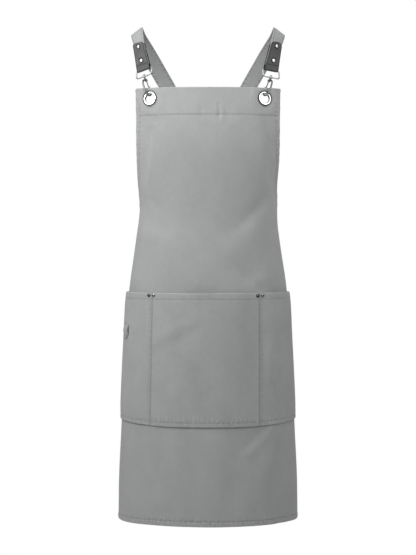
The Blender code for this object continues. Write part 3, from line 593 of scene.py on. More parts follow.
def add_tube(shape, points, radii, sides, closed=False):
    """A round tube along points, closed in a ring or left open at its ends."""
    points = np.asarray(points, float)
    if closed:
        ahead = unit(np.roll(points, -1, axis=0) - np.roll(points, 1, axis=0))
    else:
        ahead = unit(np.gradient(points, axis=0))
    frames = [unit(np.cross(ahead[0], ASKEW))]
    for way in ahead[1:]:
        frames.append(unit(frames[-1] - way * (frames[-1] @ way)))
    aside = np.array(frames)
    if closed:
        end = aside[-1] - ahead[0] * (aside[-1] @ ahead[0])
        twist = math.atan2(np.cross(aside[0], end) @ ahead[0], aside[0] @ end)
        back = (-twist * np.arange(len(points)) / len(points))[:, None]
        aside = aside * np.cos(back) + np.cross(ahead, aside) * np.sin(back)
    ring = ring_round(aside, np.cross(ahead, aside), sides)
    radii = np.broadcast_to(radii, (len(points),))
    grid = points[:, None] + ring * radii[:, None, None]
    if closed:
        grid = np.concatenate([grid, grid[:1]])
    shape.add(grid, grid_faces(len(grid), sides, around=True, flip=True))


def rounded_ends(points, radii, steps=4):
    """Adds the points that close a tube's two ends with a dome."""
    radii = np.broadcast_to(radii, (len(points),))
    start, end = unit(points[0] - points[1]), unit(points[-1] - points[-2])
    angles = np.linspace(0.0, math.pi / 2, steps + 1)[1:]
    reach, shrink = np.sin(angles), np.maximum(np.cos(angles), 0.02)
    head = points[0] + start * (radii[0] * reach)[::-1, None]
    tail = points[-1] + end * (radii[-1] * reach)[:, None]
    radii = np.concatenate([radii[0] * shrink[::-1], radii, radii[-1] * shrink])
    return np.concatenate([head, points, tail]), radii


def add_turned(shape, profile, steps, at, axis, shades=0.0):
    """A round piece from a profile of (radius, height), stood along an axis at a point."""
    profile = np.asarray(profile, float)
    axis = unit(axis)
    aside = unit(np.cross(axis, ASKEW))
    radius = np.maximum(profile[:, 0], 1e-6)[:, None, None]
    grid = at + ring_round(aside, np.cross(axis, aside), steps)[None] * radius
    grid = grid + axis * profile[:, 1][:, None, None]
    edge = np.zeros(grid.shape[:2] + (2,))
    edge[..., 1] = np.reshape(shades, (-1, 1))
    shape.add(grid, grid_faces(len(profile), steps, around=True, flip=True), edge=edge)


def soft_profile(corners, radius, steps=4, closed=False):
    """A profile with its corners rounded off."""
    corners = np.asarray(corners, float)
    made = []
    for index, corner in enumerate(corners):
        if not closed and index in (0, len(corners) - 1):
            made.append(corner)
            continue
        before, after = (corners[k % len(corners)] - corner for k in (index - 1, index + 1))
        room = min(radius, 0.48 * np.linalg.norm(before), 0.48 * np.linalg.norm(after))
        start, end = corner + unit(before) * room, corner + unit(after) * room
        for share in np.linspace(0.0, 1.0, steps + 1):
            made.append(start * (1 - share) ** 2 + 2 * corner * share * (1 - share) + end * share**2)
    return np.array(made + made[:1] if closed else made)


def add_ribbon(shape, middle, across, half, thickness, walked, columns, finish, out_sign):
    """A flat band with rounded edges along points, with a direction across it at each one.

    finish gives, for places on the band, how far they rise, their distance to a sewn line and their
    painted shade.
    """
    out = unit(np.cross(across, unit(np.gradient(middle, axis=0)))) * out_sign
    count = len(middle)
    half = np.broadcast_to(half, (count,))[:, None]
    share = np.sin(np.linspace(-math.pi / 2, math.pi / 2, columns))
    share = np.sign(share) * np.abs(share) ** 0.9
    body = (1.0 - np.abs(share) ** 14) ** 0.5
    faces = []
    for face, order in ((1.0, slice(None)), (-1.0, slice(-2, 0, -1))):
        place = share[order][None] * half
        rise, line, shade = finish(place, walked[:, None], face)
        height = thickness / 2 * body[order] + rise * (body[order] > 0.2)
        points = middle[:, None] + across[:, None] * place[..., None]
        points = points + out[:, None] * (face * height)[..., None]
        edge = together(half - np.abs(place), shade)
        line = np.broadcast_to(line, place.shape)
        seam = together(line, -bump(line, 4 * MM))
        faces.append((points, together(place, walked[:, None]), edge, seam))
    grid, *layers = (np.concatenate(parts, axis=1) for parts in zip(*faces))
    around = grid.shape[1]
    shape.add(grid, grid_faces(count, around, around=True, flip=out_sign < 0), *layers)
    for row, flip in ((0, out_sign > 0), (-1, out_sign < 0)):
        ends = end_faces(columns, around, flip)
        shape.add(grid[row], ends, *(layer[row] for layer in layers))


def end_faces(columns, around, flip):
    """Faces that close a ribbon's end, between its upper and lower points."""
    upper = np.arange(columns)
    lower = np.concatenate([[0], np.arange(around - 1, columns - 1, -1), [columns - 1]])
    faces = [(0, upper[1], lower[1])]
    faces += [(upper[k], upper[k + 1], lower[k + 1], lower[k]) for k in range(1, columns - 2)]
    faces.append((upper[-2], columns - 1, lower[-2]))
    if flip:
        faces = [(face[0], *face[:0:-1]) for face in faces]
    return np.array([(*face, face[-1])[:4] for face in faces])


def add_stitches(shape, places, facing, pitch=STITCH_PITCH, length=STITCH_LENGTH):
    """Stitches along a line of points, each a short raised thread that dips in at its ends."""
    walked = walk_along(places)
    count = max(1, int(walked[-1] / pitch))
    starts = (np.arange(count) + 0.5) * walked[-1] / count
    shares = np.array([-0.5, -0.40, 0.0, 0.40, 0.5])
    widths = THREAD * np.array([0.15, 0.85, 1.0, 0.85, 0.15])
    heights = THREAD * np.array([-0.9, 0.15, 0.45, 0.15, -0.9]) + THREAD_LIFT
    at = starts[:, None] + shares * length
    centre = together(*(np.interp(at, walked, places[:, k]) for k in range(3)))
    out = unit(together(*(np.interp(at, walked, facing[:, k]) for k in range(3))))
    ahead = unit(centre[:, -1] - centre[:, 0])[:, None]
    aside = unit(np.cross(out, np.broadcast_to(ahead, out.shape)))
    centre = centre + out * heights[:, None]
    grid = centre[:, :, None] + ring_round(aside, out * 0.8, 4) * widths[:, None, None]
    block = np.concatenate([grid_faces(5, 4, around=True, flip=True), [(3, 2, 1, 0), (16, 17, 18, 19)]])
    faces = block + (np.arange(count) * 20)[:, None, None]
    around = np.arange(4) * math.pi / 2 * MM
    shape.add(grid, faces.reshape(-1, 4), together(around, at[:, :, None]))


def place_piece(made, node, body=ROOT):
    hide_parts(node)
    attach(made, body)
    return made


def place_sewing(shape, name):
    made = shape.build(name, "thread")
    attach(made, ROOT)
    return made


# Materials


class Nodes:
    """A few short ways to add nodes to a material or world, before its last shader."""

    def __init__(self, owner, last="Principled BSDF"):
        owner.use_nodes = True
        self.owner, self.tree = owner, owner.node_tree
        self.last = self.tree.nodes[last]

    def fill(self, node, values):
        for key, value in values.items():
            if isinstance(value, bpy.types.NodeSocket):
                self.tree.links.new(value, node.inputs[key])
            else:
                node.inputs[key].default_value = value
        return node

    def add(self, kind, values=None, **settings):
        node = self.tree.nodes.new(kind)
        for key, value in settings.items():
            setattr(node, key, value)
        return self.fill(node, values or {})

    def done(self, **values):
        self.fill(self.last, {key.replace("_", " "): value for key, value in values.items()})
        return self.owner

    def flat(self, name):
        return self.add("ShaderNodeUVMap", uv_map=name).outputs["UV"]

    def coordinates(self, kind="Object"):
        return self.add("ShaderNodeTexCoord").outputs[kind]

    def split(self, vector):
        return self.add("ShaderNodeSeparateXYZ", {0: vector}).outputs

    def noise(self, vector, scale, detail=3.0, roughness=0.5):
        """Noise at one scale, or at a scale for each direction."""
        if isinstance(scale, tuple):
            stretched = {"Vector": vector, "Scale": scale}
            vector, scale = self.add("ShaderNodeMapping", stretched).outputs["Vector"], 1.0
        values = {"Vector": vector, "Scale": scale, "Detail": detail, "Roughness": roughness}
        return self.add("ShaderNodeTexNoise", values).outputs["Fac"]

    def math(self, operation, first, second=0.0, third=0.0):
        values = {0: first, 1: second, 2: third}
        return self.add("ShaderNodeMath", values, operation=operation).outputs[0]

    def times(self, first, second, plus=0.0):
        return self.math("MULTIPLY_ADD", first, second, plus)

    def above(self, value):
        return self.math("MAXIMUM", value, 0.0)

    def spread(self, value, low, high, to_low=0.0, to_high=1.0):
        values = {0: value, 1: low, 2: high, 3: to_low, 4: to_high}
        return self.add("ShaderNodeMapRange", values).outputs[0]

    def mix(self, share, *colours):
        first, second = (c if isinstance(c, bpy.types.NodeSocket) else (*c, 1.0) for c in colours)
        return self.add("ShaderNodeMix", {0: share, 6: first, 7: second}, data_type="RGBA").outputs[2]

    def bumped(self, height, strength, distance, before=None):
        values = {"Height": height, "Strength": strength, "Distance": distance}
        if before is not None:
            values["Normal"] = before
        return self.add("ShaderNodeBump", values).outputs["Normal"]


def canvas_material(n, thread_pitch):
    """Washed canvas: crossing threads, slubs, soft wash clouds and paler worn hems, with painted shade in
    seam grooves, pucker valleys and beside the eyelets.
    """
    cut = n.flat("cut")
    u, v, _ = n.split(cut)
    turns = 2 * math.pi / thread_pitch
    warp = n.math("SINE", n.times(u, turns))
    over = n.times(warp, n.math("SINE", n.times(v, turns * 0.92)))
    ribs = n.times(n.math("ABSOLUTE", warp), 0.35, n.times(over, 0.65))
    slub_up = n.noise(cut, (1500.0, 90.0, 1.0), 2.0)
    slub_over = n.noise(cut, (80.0, 1300.0, 1.0), 2.0)
    clouds = n.noise(cut, (22.0, 14.0, 1.0), 4.0, 0.55)
    blotches = n.noise(cut, (95.0, 80.0, 1.0), 3.0, 0.6)
    tone = 0.5
    for wave, weight in ((slub_up, 0.55), (slub_over, 0.45), (clouds, 0.85), (blotches, 0.40)):
        tone = n.times(n.math("SUBTRACT", wave, 0.5), weight, tone)
    base = n.mix(n.spread(n.times(over, 0.10, tone), 0.1, 0.9), CANVAS_DARK, CANVAS_LIGHT)
    # band, the edge layer's second value, is the painted shadow line beside the eyelets; it is laid on
    # last.
    edge, band, _ = n.split(n.flat("edge"))
    rubbed = n.spread(n.noise(cut, (160.0, 160.0, 1.0)), 0.35, 0.7, 0.3, 1.0)
    base = n.mix(n.times(n.spread(edge, 0.0, 0.0024, 0.9, 0.0), rubbed), base, CANVAS_WORN)
    line, mask, _ = n.split(n.flat("seam"))
    level, upright = n.above(mask), n.above(n.times(mask, -1.0))
    shift = n.times(n.noise(cut, (38.0, 38.0, 1.0), 3.0, 0.6), 16.0)
    turns = 2 * math.pi / PUCKER_LENGTH
    over_u, over_v = (n.math("SINE", n.times(place, turns, shift)) for place in (u, v))
    puckers = n.times(over_v, upright, n.times(over_u, level))
    # The pucker ridges turn paler with wear, and their valleys get painted shade.
    base = n.mix(n.times(n.above(puckers), 0.22), base, CANVAS_WORN)
    base = n.mix(n.times(n.above(n.times(puckers, -1.0)), 0.13), base, CANVAS_PAINTED_SHADE)
    # Painted shade along the sewn lines, standing in for the shadow in their grooves.
    groove = n.times(n.spread(line, -0.0006, 0.0020, 1.0, 0.0), 0.34)
    base = n.mix(groove, base, CANVAS_PAINTED_SHADE)
    height = n.times(n.noise(cut, (2600.0, 2600.0, 1.0), 2.0), 0.5, ribs)
    crumple = n.noise(cut, (120.0, 100.0, 1.0), 4.0, 0.6)
    soft = n.bumped(crumple, 0.35, 0.0009, n.bumped(height, 0.55, 0.00016))
    return n.done(
        Base_Color=n.mix(n.times(band, 0.9), base, CANVAS_PAINTED_SHADE),
        Normal=n.bumped(puckers, 0.7, 0.0006, soft),
        Roughness=n.spread(slub_up, 0.2, 0.8, 0.84, 0.96),
        Specular_IOR_Level=0.25,
        Sheen_Weight=0.12,
        Sheen_Roughness=0.6,
    )


def thread_material(n):
    cut = n.flat("cut")
    around, along, _ = n.split(cut)
    ply = n.math("SINE", n.times(along, 11000.0, n.times(around, 2500.0)))
    base = n.mix(n.spread(ply, -1.0, 1.0), THREAD_DARK, THREAD_LIGHT)
    tint = n.spread(n.noise(cut, (60.0, 60.0, 1.0), 2.0), 0.3, 0.7, 0.0, 0.35)
    return n.done(
        Base_Color=n.mix(tint, base, THREAD_WASHED),
        Normal=n.bumped(ply, 0.5, 0.0001),
        Roughness=0.8,
        Specular_IOR_Level=0.3,
    )


def leather_material(n, light, dark):
    """Dark grey leather with pores, soft creases and burnished darker edges, with a painted shadow round
    its rivets and painted shade at its crease and round the bar.
    """
    place = n.coordinates()
    cells = {"Vector": place, "Scale": 1500.0}
    cells = n.add("ShaderNodeTexVoronoi", cells, feature="DISTANCE_TO_EDGE").outputs["Distance"]
    pebbles = n.spread(cells, 0.0, 0.35)
    creases = n.noise(place, (220.0, 220.0, 420.0), 5.0, 0.65)
    clouds = n.noise(place, 130.0, 4.0, 0.6)
    base = n.mix(n.spread(clouds, 0.3, 0.7), dark, light)
    base = n.mix(n.spread(pebbles, 0.0, 0.5, 0.45, 0.0), base, PORE)
    edge, shade, _ = n.split(n.flat("edge"))
    line, _, _ = n.split(n.flat("seam"))
    base = n.mix(n.spread(edge, 0.0013, 0.0031, 0.93, 0.0), base, BLACK)
    # Painted shadow in a ring round each rivet head: the seam layer holds the distance to the heads.
    base = n.mix(n.spread(line, 0.0019, 0.0032, 0.95, 0.0), base, BLACK)
    # The edge layer's shade is painted shade: dark in the crease and fainter round the bar.
    return n.done(
        Base_Color=n.mix(shade, base, BLACK),
        Normal=n.bumped(creases, 0.4, 0.0005, n.bumped(pebbles, 0.35, 0.00012)),
        Roughness=n.spread(clouds, 0.3, 0.7, 0.42, 0.62),
    )


def metal_material(n, light, dark, rough):
    """Plated metal: fine scratches, slightly duller patches, and painted shade towards black where the
    edge layer's second value is set.
    """
    place = n.coordinates()
    patches = n.noise(place, 260.0, 4.0, 0.6)
    scratches = n.noise(place, (900.0, 5200.0, 2400.0))
    # Painted shade: the edge layer's second value darkens rims and outlines towards black.
    shade = n.split(n.flat("edge"))[1]
    return n.done(
        Base_Color=n.mix(shade, n.mix(n.spread(patches, 0.3, 0.7), light, dark), BLACK),
        Roughness=n.spread(patches, 0.3, 0.7, rough, rough + 0.14),
        Normal=n.bumped(scratches, 0.12, 0.00005),
        Metallic=1.0,
    )


def new_material(name):
    return Nodes(bpy.data.materials.new(name))


MATERIALS = {name: canvas_material(new_material(name), pitch) for name, pitch in THREAD_PITCHES.items()}
MATERIALS["thread"] = thread_material(new_material("thread"))
for name, look in LEATHERS.items():
    MATERIALS[name] = leather_material(new_material(name), *look)
for name, look in METALS.items():
    MATERIALS[name] = metal_material(new_material(name), *look)


# The apron's cloth


def cut_outline():
    """Points along the right edge of the cut, from the bib's top corner to the hem."""
    half, upper = armhole(np.linspace(0.0, 1.0, 400))
    lower = np.linspace(ARMHOLE_DEPTH, APRON_LENGTH, 300)[1:]
    half = np.concatenate([half, np.full(len(lower), APRON_HALF_WIDTH)])
    return half, np.concatenate([upper, lower])


OUTLINE = cut_outline()


def side_distance(across, down):
    """Distance on the cut to its side edge, worked out in blocks to save memory."""
    across, down = np.broadcast_arrays(np.abs(across), down)
    flat_across, flat_down = across.ravel(), down.ravel()
    found = np.empty(flat_across.shape)
    for start in range(0, len(found), 8000):
        part = slice(start, start + 8000)
        dx = flat_across[part, None] - OUTLINE[0]
        dy = flat_down[part, None] - OUTLINE[1]
        found[part] = np.sqrt((dx * dx + dy * dy).min(axis=1))
    return found.reshape(across.shape)


def uneven(along, wavelength, seed):
    """A wave along a seam whose length and height wander."""
    wander = 1.9 * np.sin(along * 19.0 + seed) + 1.3 * np.sin(along * 47.0 + 2.1 * seed)
    strength = 0.65 + 0.35 * np.sin(along * 31.0 + 3.3 * seed) * np.sin(along * 11.0 + seed)
    return np.sin(2 * math.pi * along / wavelength + wander) * strength


def apron_relief(across, down, edge):
    """Small heights on the outer face: sewn lines sink in and pucker, the hems rope."""
    band, hem, side = down - TOP_BAND, down - HEM_LINE, edge - SIDE_HEM
    rise = ridge(band, -0.55, 1.9) + ridge(hem, -0.55, 1.9) + ridge(side, -0.50, 1.8)
    rise += ridge(down - SECOND_CREASE, -0.40, 3.0) * smooth_step((np.abs(across) - 0.035) / 0.06)
    rise += ridge(band, 0.28, 9.0) * uneven(across, 0.017, 0.4)
    rise += 0.35 * MM * smooth_step(-band / (3 * MM))
    in_hem = smooth_step((hem + 2 * MM) / (5 * MM))
    rise += 0.45 * MM * in_hem * (0.5 + uneven(across + 0.55 * hem, 0.0135, 1.7))
    rise += ridge(hem, 0.20, 7.0) * uneven(across, 0.0135, 1.7)
    in_side = smooth_step((2 * MM - side) / (5 * MM))
    rise += 0.34 * MM * in_side * (0.5 + uneven(down + 0.4 * edge, 0.019, 2.6))
    rise += ridge(side, 0.20, 6.0) * uneven(down, 0.019, 2.6)
    rounding = sum(smooth_step(1.0 - near / (1.5 * MM)) for near in (edge, down, APRON_LENGTH - down))
    return rise - 0.45 * MM * np.minimum(rounding, 1.0)


def apron_seams(down, edge):
    """The distance to the nearest sewn line, more for faint ones, and the puckers' strength."""
    band, hem, side = down - TOP_BAND, down - HEM_LINE, edge - SIDE_HEM
    near = np.minimum.reduce([np.abs(band) + FAINT, np.abs(hem) + FAINT / 2, np.abs(side) + FAINT])
    level = 0.25 * bump(band, 5 * MM) + 0.80 * bump(hem - 2 * MM, 7 * MM)
    return together(near, level - 0.50 * bump(side + 3 * MM, 6 * MM))


def eyelet_shade(across, down):
    """A painted shadow line in the cloth right beside each eyelet."""
    shade = np.zeros(across.shape)
    for middle, level, _, _ in EYELET_PLANES.values():
        away = np.hypot(across - middle, down - level)
        shade = np.maximum(shade, 1.0 - smooth_step((away - EYELET_OUTER - 0.4 * MM) / (2.2 * MM)))
    return shade


def apron_rows():
    """Levels of the mesh: close together at seams, hems and eyelets, wider between them."""
    near = mm(-3.2, -1.8, -0.9, 0.0, 0.9, 1.8, 3.2)
    foot = mm(0.0, 0.7, 1.6, 3.0, 5.5, 8.0, 9.6, 10.4, 11.0, 11.6, 12.6, 14.5)
    rows = (
        mm(0.0, 0.6, 1.6, 3.4),
        np.arange(0.0052, 0.038, 0.0026),
        np.arange(0.0405, TOP_BAND - 0.004, 0.0035),
        TOP_BAND + near,
        np.arange(TOP_BAND + 0.0055, 0.300, 0.0046),
        armhole(np.linspace(0.60, 0.995, 16))[1],
        ARMHOLE_DEPTH + foot,
        np.arange(ARMHOLE_DEPTH + 0.0185, HEM_LINE - 0.004, 0.0052),
        HEM_LINE + near,
        APRON_LENGTH - mm(5.4, 3.6, 2.2, 1.0, 0.4, 0.0),
    )
    return np.unique(np.round(np.concatenate(rows), 6))


def apron_columns():
    inner = np.linspace(0.0, WIDEST - 0.0065, 88)
    outer = WIDEST + mm(-3.6, -1.8, -0.9, 0.0, 0.9, 1.8, 3.6, 5.6, 7.6, 9.3, 10.4, 11.0)
    half = np.concatenate([inner, outer])
    return np.concatenate([-half[:0:-1], half])


def apron_across(columns, down):
    """Places across at each level: the hems keep their width and the middle takes the rest."""
    half = cut_half_width(down)[:, None]
    place = np.abs(columns)[None]
    inside = place * (half - SIDE_HEM) / WIDEST
    return np.where(place <= WIDEST, inside, half - (APRON_HALF_WIDTH - place)) * np.sign(columns)


def make_apron_cloth():
    down = apron_rows()
    across, down = np.broadcast_arrays(apron_across(apron_columns(), down), down[:, None])
    edge = side_distance(across, down)
    faces = grid_faces(*across.shape)
    keep = np.ones(len(faces), bool)
    centre_across, centre_down = (place.ravel()[faces].mean(axis=1) for place in (across, down))
    for middle, level, _, _ in EYELET_PLANES.values():
        keep &= np.hypot(centre_across - middle, centre_down - level) > EYELET_CUT
    nearest = np.minimum(np.minimum(edge, down), APRON_LENGTH - down)
    shape = Shape()
    shape.add(
        cloth_point(across, down, apron_relief(across, down, edge)),
        faces[keep],
        together(across, down),
        together(nearest, eyelet_shade(across, down)),
        apron_seams(down, edge),
    )
    made = shape.build("apron_cloth", "canvas")
    folded = (down <= TOP_BAND) | (down >= HEM_LINE) | (edge <= SIDE_HEM)
    rounded = 0.45 + 0.55 * smooth_step(nearest / (1.8 * MM))
    give_thickness(made, FOLDED_CLOTH, np.where(folded, rounded, CLOTH / FOLDED_CLOTH))
    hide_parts("top_band", "bib", "skirt")
    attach(made, ROOT)
    return made


def give_thickness(made, thickness, shares=None):
    """Thickens a cloth inwards, by a share of the thickness at each point."""
    solid = made.modifiers.new("thickness", "SOLIDIFY")
    solid.thickness = thickness
    solid.offset = -1.0
    solid.use_quality_normals = True
    if shares is None:
        return
    shares = np.round(shares.ravel(), 3)
    group = made.vertex_groups.new(name="thickness")
    for share in np.unique(shares):
        group.add(np.nonzero(shares == share)[0].tolist(), float(share), "REPLACE")
    solid.vertex_group = group.name


def outer_line(across, down, out=0.0):
    """Points and outward directions along a line on the cut's outer face."""
    across, down = pair(across, down)
    rise = apron_relief(across, down, side_distance(across, down)) + out
    return cloth_point(across, down, rise), normal_of(outer_face, across, down)


def inner_line(across, down):
    """The same for the inner face, where the hems are folded."""
    points, facing = outer_line(across, down, -FOLDED_CLOTH)
    return points, -facing


def inset_outline(inset):
    """The cut's right edge moved in by a distance, from the bib's top to the hem."""
    path = together(*OUTLINE)
    ahead = unit(np.gradient(path, axis=0))
    moved = path + together(-ahead[:, 1], ahead[:, 0]) * inset
    moved = moved[(moved[:, 1] > 0.002) & (moved[:, 1] < APRON_LENGTH - 0.002)]
    walked = walk_along(moved)
    at = np.linspace(0.0, walked[-1], int(walked[-1] / 0.004))
    return np.interp(at, walked, moved[:, 0]), np.interp(at, walked, moved[:, 1])


def make_apron_stitches():
    shape = Shape()
    line = np.linspace(-1.0, 1.0, 120) * (BIB_HALF_WIDTH - 0.003)
    hem = np.linspace(-1.0, 1.0, 260) * (APRON_HALF_WIDTH - 0.003)
    half, down = inset_outline(SIDE_HEM)
    for face in (outer_line, inner_line):
        add_stitches(shape, *face(line, TOP_BAND))
        add_stitches(shape, *face(hem, HEM_LINE))
        for side in SIDES:
            add_stitches(shape, *face(side * half, down))
    return place_sewing(shape, "apron_stitches")


# The pocket


def seam_place(across, down):
    """The distance from the centre line of the seam on the same side."""
    share = (down - POCKET_TOP) / POCKET_HEIGHT
    left, right = (SEAMS[side][0] + (SEAMS[side][1] - SEAMS[side][0]) * share for side in SIDES)
    return np.where(across < 0, left, right)


def pocket_out(across, down):
    """How far the pocket's inner face stands off the apron."""
    across, down = pair(across, down)
    level = np.clip((down - POCKET_TOP) / POCKET_HEIGHT, 0.0, 1.0)
    low = 1.0 - level**2.2
    seam, place = seam_place(across, down), np.abs(across)
    inner = np.maximum(0.0, 1.0 - (place / (seam - SEAM_FLAT)) ** 2)
    middle = CENTRE_BULGE * inner**1.3 * low * (0.55 + 0.45 * (1.0 - level))
    start = seam + SEAM_FLAT
    share = np.clip((place - start) / (POCKET_HALF_WIDTH - SIDE_HEM - start), 0.0, 1.0)
    outer = SIDE_BULGE * np.sin(math.pi * share**0.6) ** 2 * low
    return SEWN_GAP + np.where(place < seam - SEAM_FLAT, middle, outer)


def pocket_ends(across):
    """The pocket's top and bottom, which rise towards its sides."""
    wide = POCKET_HALF_WIDTH - POCKET_LEVEL_PART
    end = smooth_step((np.abs(across) - POCKET_LEVEL_PART) / wide)
    return POCKET_TOP - POCKET_END_RISE_TOP * end, POCKET_BOTTOM - POCKET_END_RISE_BOTTOM * end


def pocket_down(across, level):
    top, bottom = pocket_ends(across)
    return top + (bottom - top) * level


def pocket_edges(across, down):
    """Distances from the pocket's top, bottom and nearer side."""
    top, bottom = pocket_ends(across)
    return down - top, bottom - down, POCKET_HALF_WIDTH - np.abs(across)


def pocket_relief(across, down):
    """Heights on the pocket: never below the apron, as each adds to a small stand-off."""
    top, bottom, side = pocket_edges(across, down)
    seam = np.abs(np.abs(across) - seam_place(across, down))
    foot = bottom - POCKET_FOOT
    rise = fold_height(across, down, POCKET_FOLDS) * np.clip(bottom / 0.03, 0.0, 1.0)
    rise = rise * np.clip(seam / 0.012, 0.15, 1.0)
    rise += ridge(top - POCKET_HEM, -0.24, 1.6) + ridge(foot, -0.30, 1.6)
    rise += ridge(seam - SEAM_STITCHES, -0.26, 1.4) + ridge(side - POCKET_SIDE_LINE, -0.24, 1.3)
    rise += ridge(top - 6 * MM, 0.26, 8.0) * uneven(across, 0.016, 0.9)
    rise += ridge(foot, 0.34, 11.0) * (0.2 + uneven(across + 0.25 * down, 0.0135, 5.2))
    rise += ridge(seam, 0.24, 8.0) * uneven(down, 0.017, 4.4)
    nearest = np.minimum(np.minimum(top, bottom), side)
    return rise - 0.35 * MM * smooth_step(1.0 - nearest / (1.4 * MM))


def pocket_seams(across, down):
    """The distance to the nearest sewn line, and how strongly the pocket puckers there."""
    top, bottom, side = pocket_edges(across, down)
    hem, foot, side = top - POCKET_HEM, bottom - POCKET_FOOT, side - POCKET_SIDE_LINE
    place = np.abs(across) - seam_place(across, down)
    strong, weak = np.abs(place + SEAM_STITCHES), np.abs(place - SEAM_STITCHES)
    lines = [np.abs(hem) + FAINT, np.abs(foot) + FAINT / 2, np.abs(side) + FAINT]
    near = np.minimum.reduce(lines + [strong - FAINT, weak + FAINT])
    level = 0.22 * bump(hem + 3 * MM, 6 * MM) + 0.70 * bump(foot - 1 * MM, 8 * MM)
    upright = 0.25 * bump(place, 8 * MM) + 0.25 * bump(side, 6 * MM)
    return together(near, level - upright)


def pocket_face(across, down):
    across, down = pair(across, down)
    height = pocket_out(across, down) + POCKET_FOLDED + 0.25 * MM + pocket_relief(across, down)
    return cloth_point(across, down, height)


def pocket_columns():
    near = mm(-8.5, -6.0, -4.4, -3.4, -2.6, -1.8, -0.9, 0.0, 0.9, 1.8, 2.6, 3.4, 4.4, 6.0, 8.5)
    last = POCKET_HALF_WIDTH - mm(5.4, 4.0, 3.0, 2.0, 1.0, 0.4, 0.0)
    halves = []
    for side in SIDES:
        seam = sum(SEAMS[side]) / 2
        inner = np.linspace(0.0, seam - 0.012, 32)
        outer = np.linspace(seam + 0.012, POCKET_HALF_WIDTH - 0.0075, 48)
        halves.append(np.concatenate([inner, seam + near, outer, last]))
    return np.concatenate([-halves[0][:0:-1], halves[1]])


def make_pocket_cloth():
    top = mm(0.0, 0.4, 1.0, 2.2, 4.2, 6.4, 8.6, 10.4, 11.3, 12.0, 12.7, 13.6, 15.5)
    low = mm(17.0, 14.2, 11.8, 10.0, 9.1, 8.4, 7.7, 6.8, 5.4, 3.8, 2.2, 1.0, 0.4, 0.0)
    middle = np.linspace(0.0185, POCKET_HEIGHT - 0.020, 60)
    level = np.concatenate([top, middle, POCKET_HEIGHT - low])[:, None] / POCKET_HEIGHT
    across, level = np.broadcast_arrays(pocket_columns()[None], level)
    down = pocket_down(across, level)
    edges = np.minimum.reduce(pocket_edges(across, down))
    shape = Shape()
    shape.add(
        pocket_face(across, down),
        grid_faces(*across.shape),
        together(across, down),
        together(np.maximum(edges, 0.0), 0.0),
        pocket_seams(across, down),
    )
    made = shape.build("pocket_cloth", "canvas")
    share = np.where(level * POCKET_HEIGHT <= POCKET_HEM, 0.98, POCKET_CLOTH / POCKET_FOLDED)
    give_thickness(made, POCKET_FOLDED, share * (0.55 + 0.45 * smooth_step(edges / (1.8 * MM))))
    return place_piece(made, "front_pocket")


def make_pocket_stitches():
    shape = Shape()

    def sew(across, level):
        down = pocket_down(across, level)
        add_stitches(shape, pocket_face(across, down), normal_of(outer_face, across, down))

    fit = POCKET_HALF_WIDTH - POCKET_SIDE_LINE
    foot = 1.0 - POCKET_FOOT / POCKET_HEIGHT
    line = np.linspace(-fit, fit, 240)
    sew(line, POCKET_HEM / POCKET_HEIGHT)
    sew(line, foot)
    levels = np.linspace(0.005, foot, 90)
    for side in SIDES:
        sew(np.full(90, side * fit), levels)
        for step in (-SEAM_STITCHES, SEAM_STITCHES):
            sew(side * (seam_place(side, pocket_down(side * 0.11, levels)) + step), levels)
    return place_sewing(shape, "pocket_stitches")


def make_side_loop():
    """The loop's strip, sewn flat at both ends and bowed out between them."""
    low, high = LOOP_DOWN
    rise_line, fall_line = low + LOOP_SEWN, high - LOOP_SEWN
    middle = np.linspace(rise_line, fall_line, 22)[1:-1]
    down = np.concatenate([np.linspace(low, rise_line, 8), middle, np.linspace(fall_line, high, 8)])
    across, down = np.meshgrid(np.linspace(-LOOP_ACROSS[1], -LOOP_ACROSS[0], 16), down)
    end = np.minimum(down - low, high - down)
    short = np.clip(LOOP_CORNER - end, 0.0, LOOP_CORNER)
    drawn_in = LOOP_CORNER - np.sqrt(LOOP_CORNER**2 - short**2)
    wide = LOOP_ACROSS[1] - LOOP_ACROSS[0]
    inner_share = (across + LOOP_ACROSS[1]) / wide
    across = across - drawn_in * inner_share
    share = np.clip((down - rise_line) / (fall_line - rise_line), 0.0, 1.0)
    rise = pocket_out(across, down) + POCKET_FOLDED + 0.55 * MM + LOOP_CLOTH
    rise += LOOP_BOW * np.sin(math.pi * share) ** 1.2
    side = np.maximum(np.minimum(inner_share, 1.0 - inner_share) * (wide - drawn_in), 0.0)
    rise += ridge(side - LOOP_LINE, -0.2, 1.2) - 0.3 * MM * smooth_step(1.0 - side / (1.2 * MM))
    points = cloth_point(across, down, rise)
    near = np.minimum(np.abs(side - LOOP_LINE), np.abs(end - LOOP_LINE))
    shape = Shape()
    shape.add(
        points,
        grid_faces(*across.shape),
        together(across, down),
        together(np.minimum(side, end), 0.0),
        together(near, -0.3 * bump(near, 3 * MM)),
    )
    made = shape.build("side_loop_cloth", "canvas")
    give_thickness(made, LOOP_CLOTH)
    place_piece(made, "side_loop")
    stitches = Shape()
    facing = normal_of(outer_face, across, down)
    for row in (3, -4):
        add_stitches(stitches, points[row], facing[row], pitch=2.6 * MM, length=2.1 * MM)
    for column in (2, -3):
        add_stitches(stitches, points[:, column], facing[:, column], pitch=3.2 * MM, length=2.5 * MM)
    place_sewing(stitches, "side_loop_stitches")


# Straps and leather


def strap_end_rows(side):
    """The strap's sewn end, inside the skirt's back corner on the other side."""
    rows = []
    for across, down, up in STRAP_END:
        facing = normal_of(cad_face, -side * across, down)
        point = cad_face(-side * across, down) - facing * (FOLDED_CLOTH + STRAP_END_DEPTH + STRAP)
        line = np.array([-side * 0.9, 0.0, up])
        line = unit(line - facing * (line @ facing))
        rows.append((point[0] * side, point[1], point[2] - BIB_TOP_Z, -side * line[0], -line[1], line[2]))
    return rows


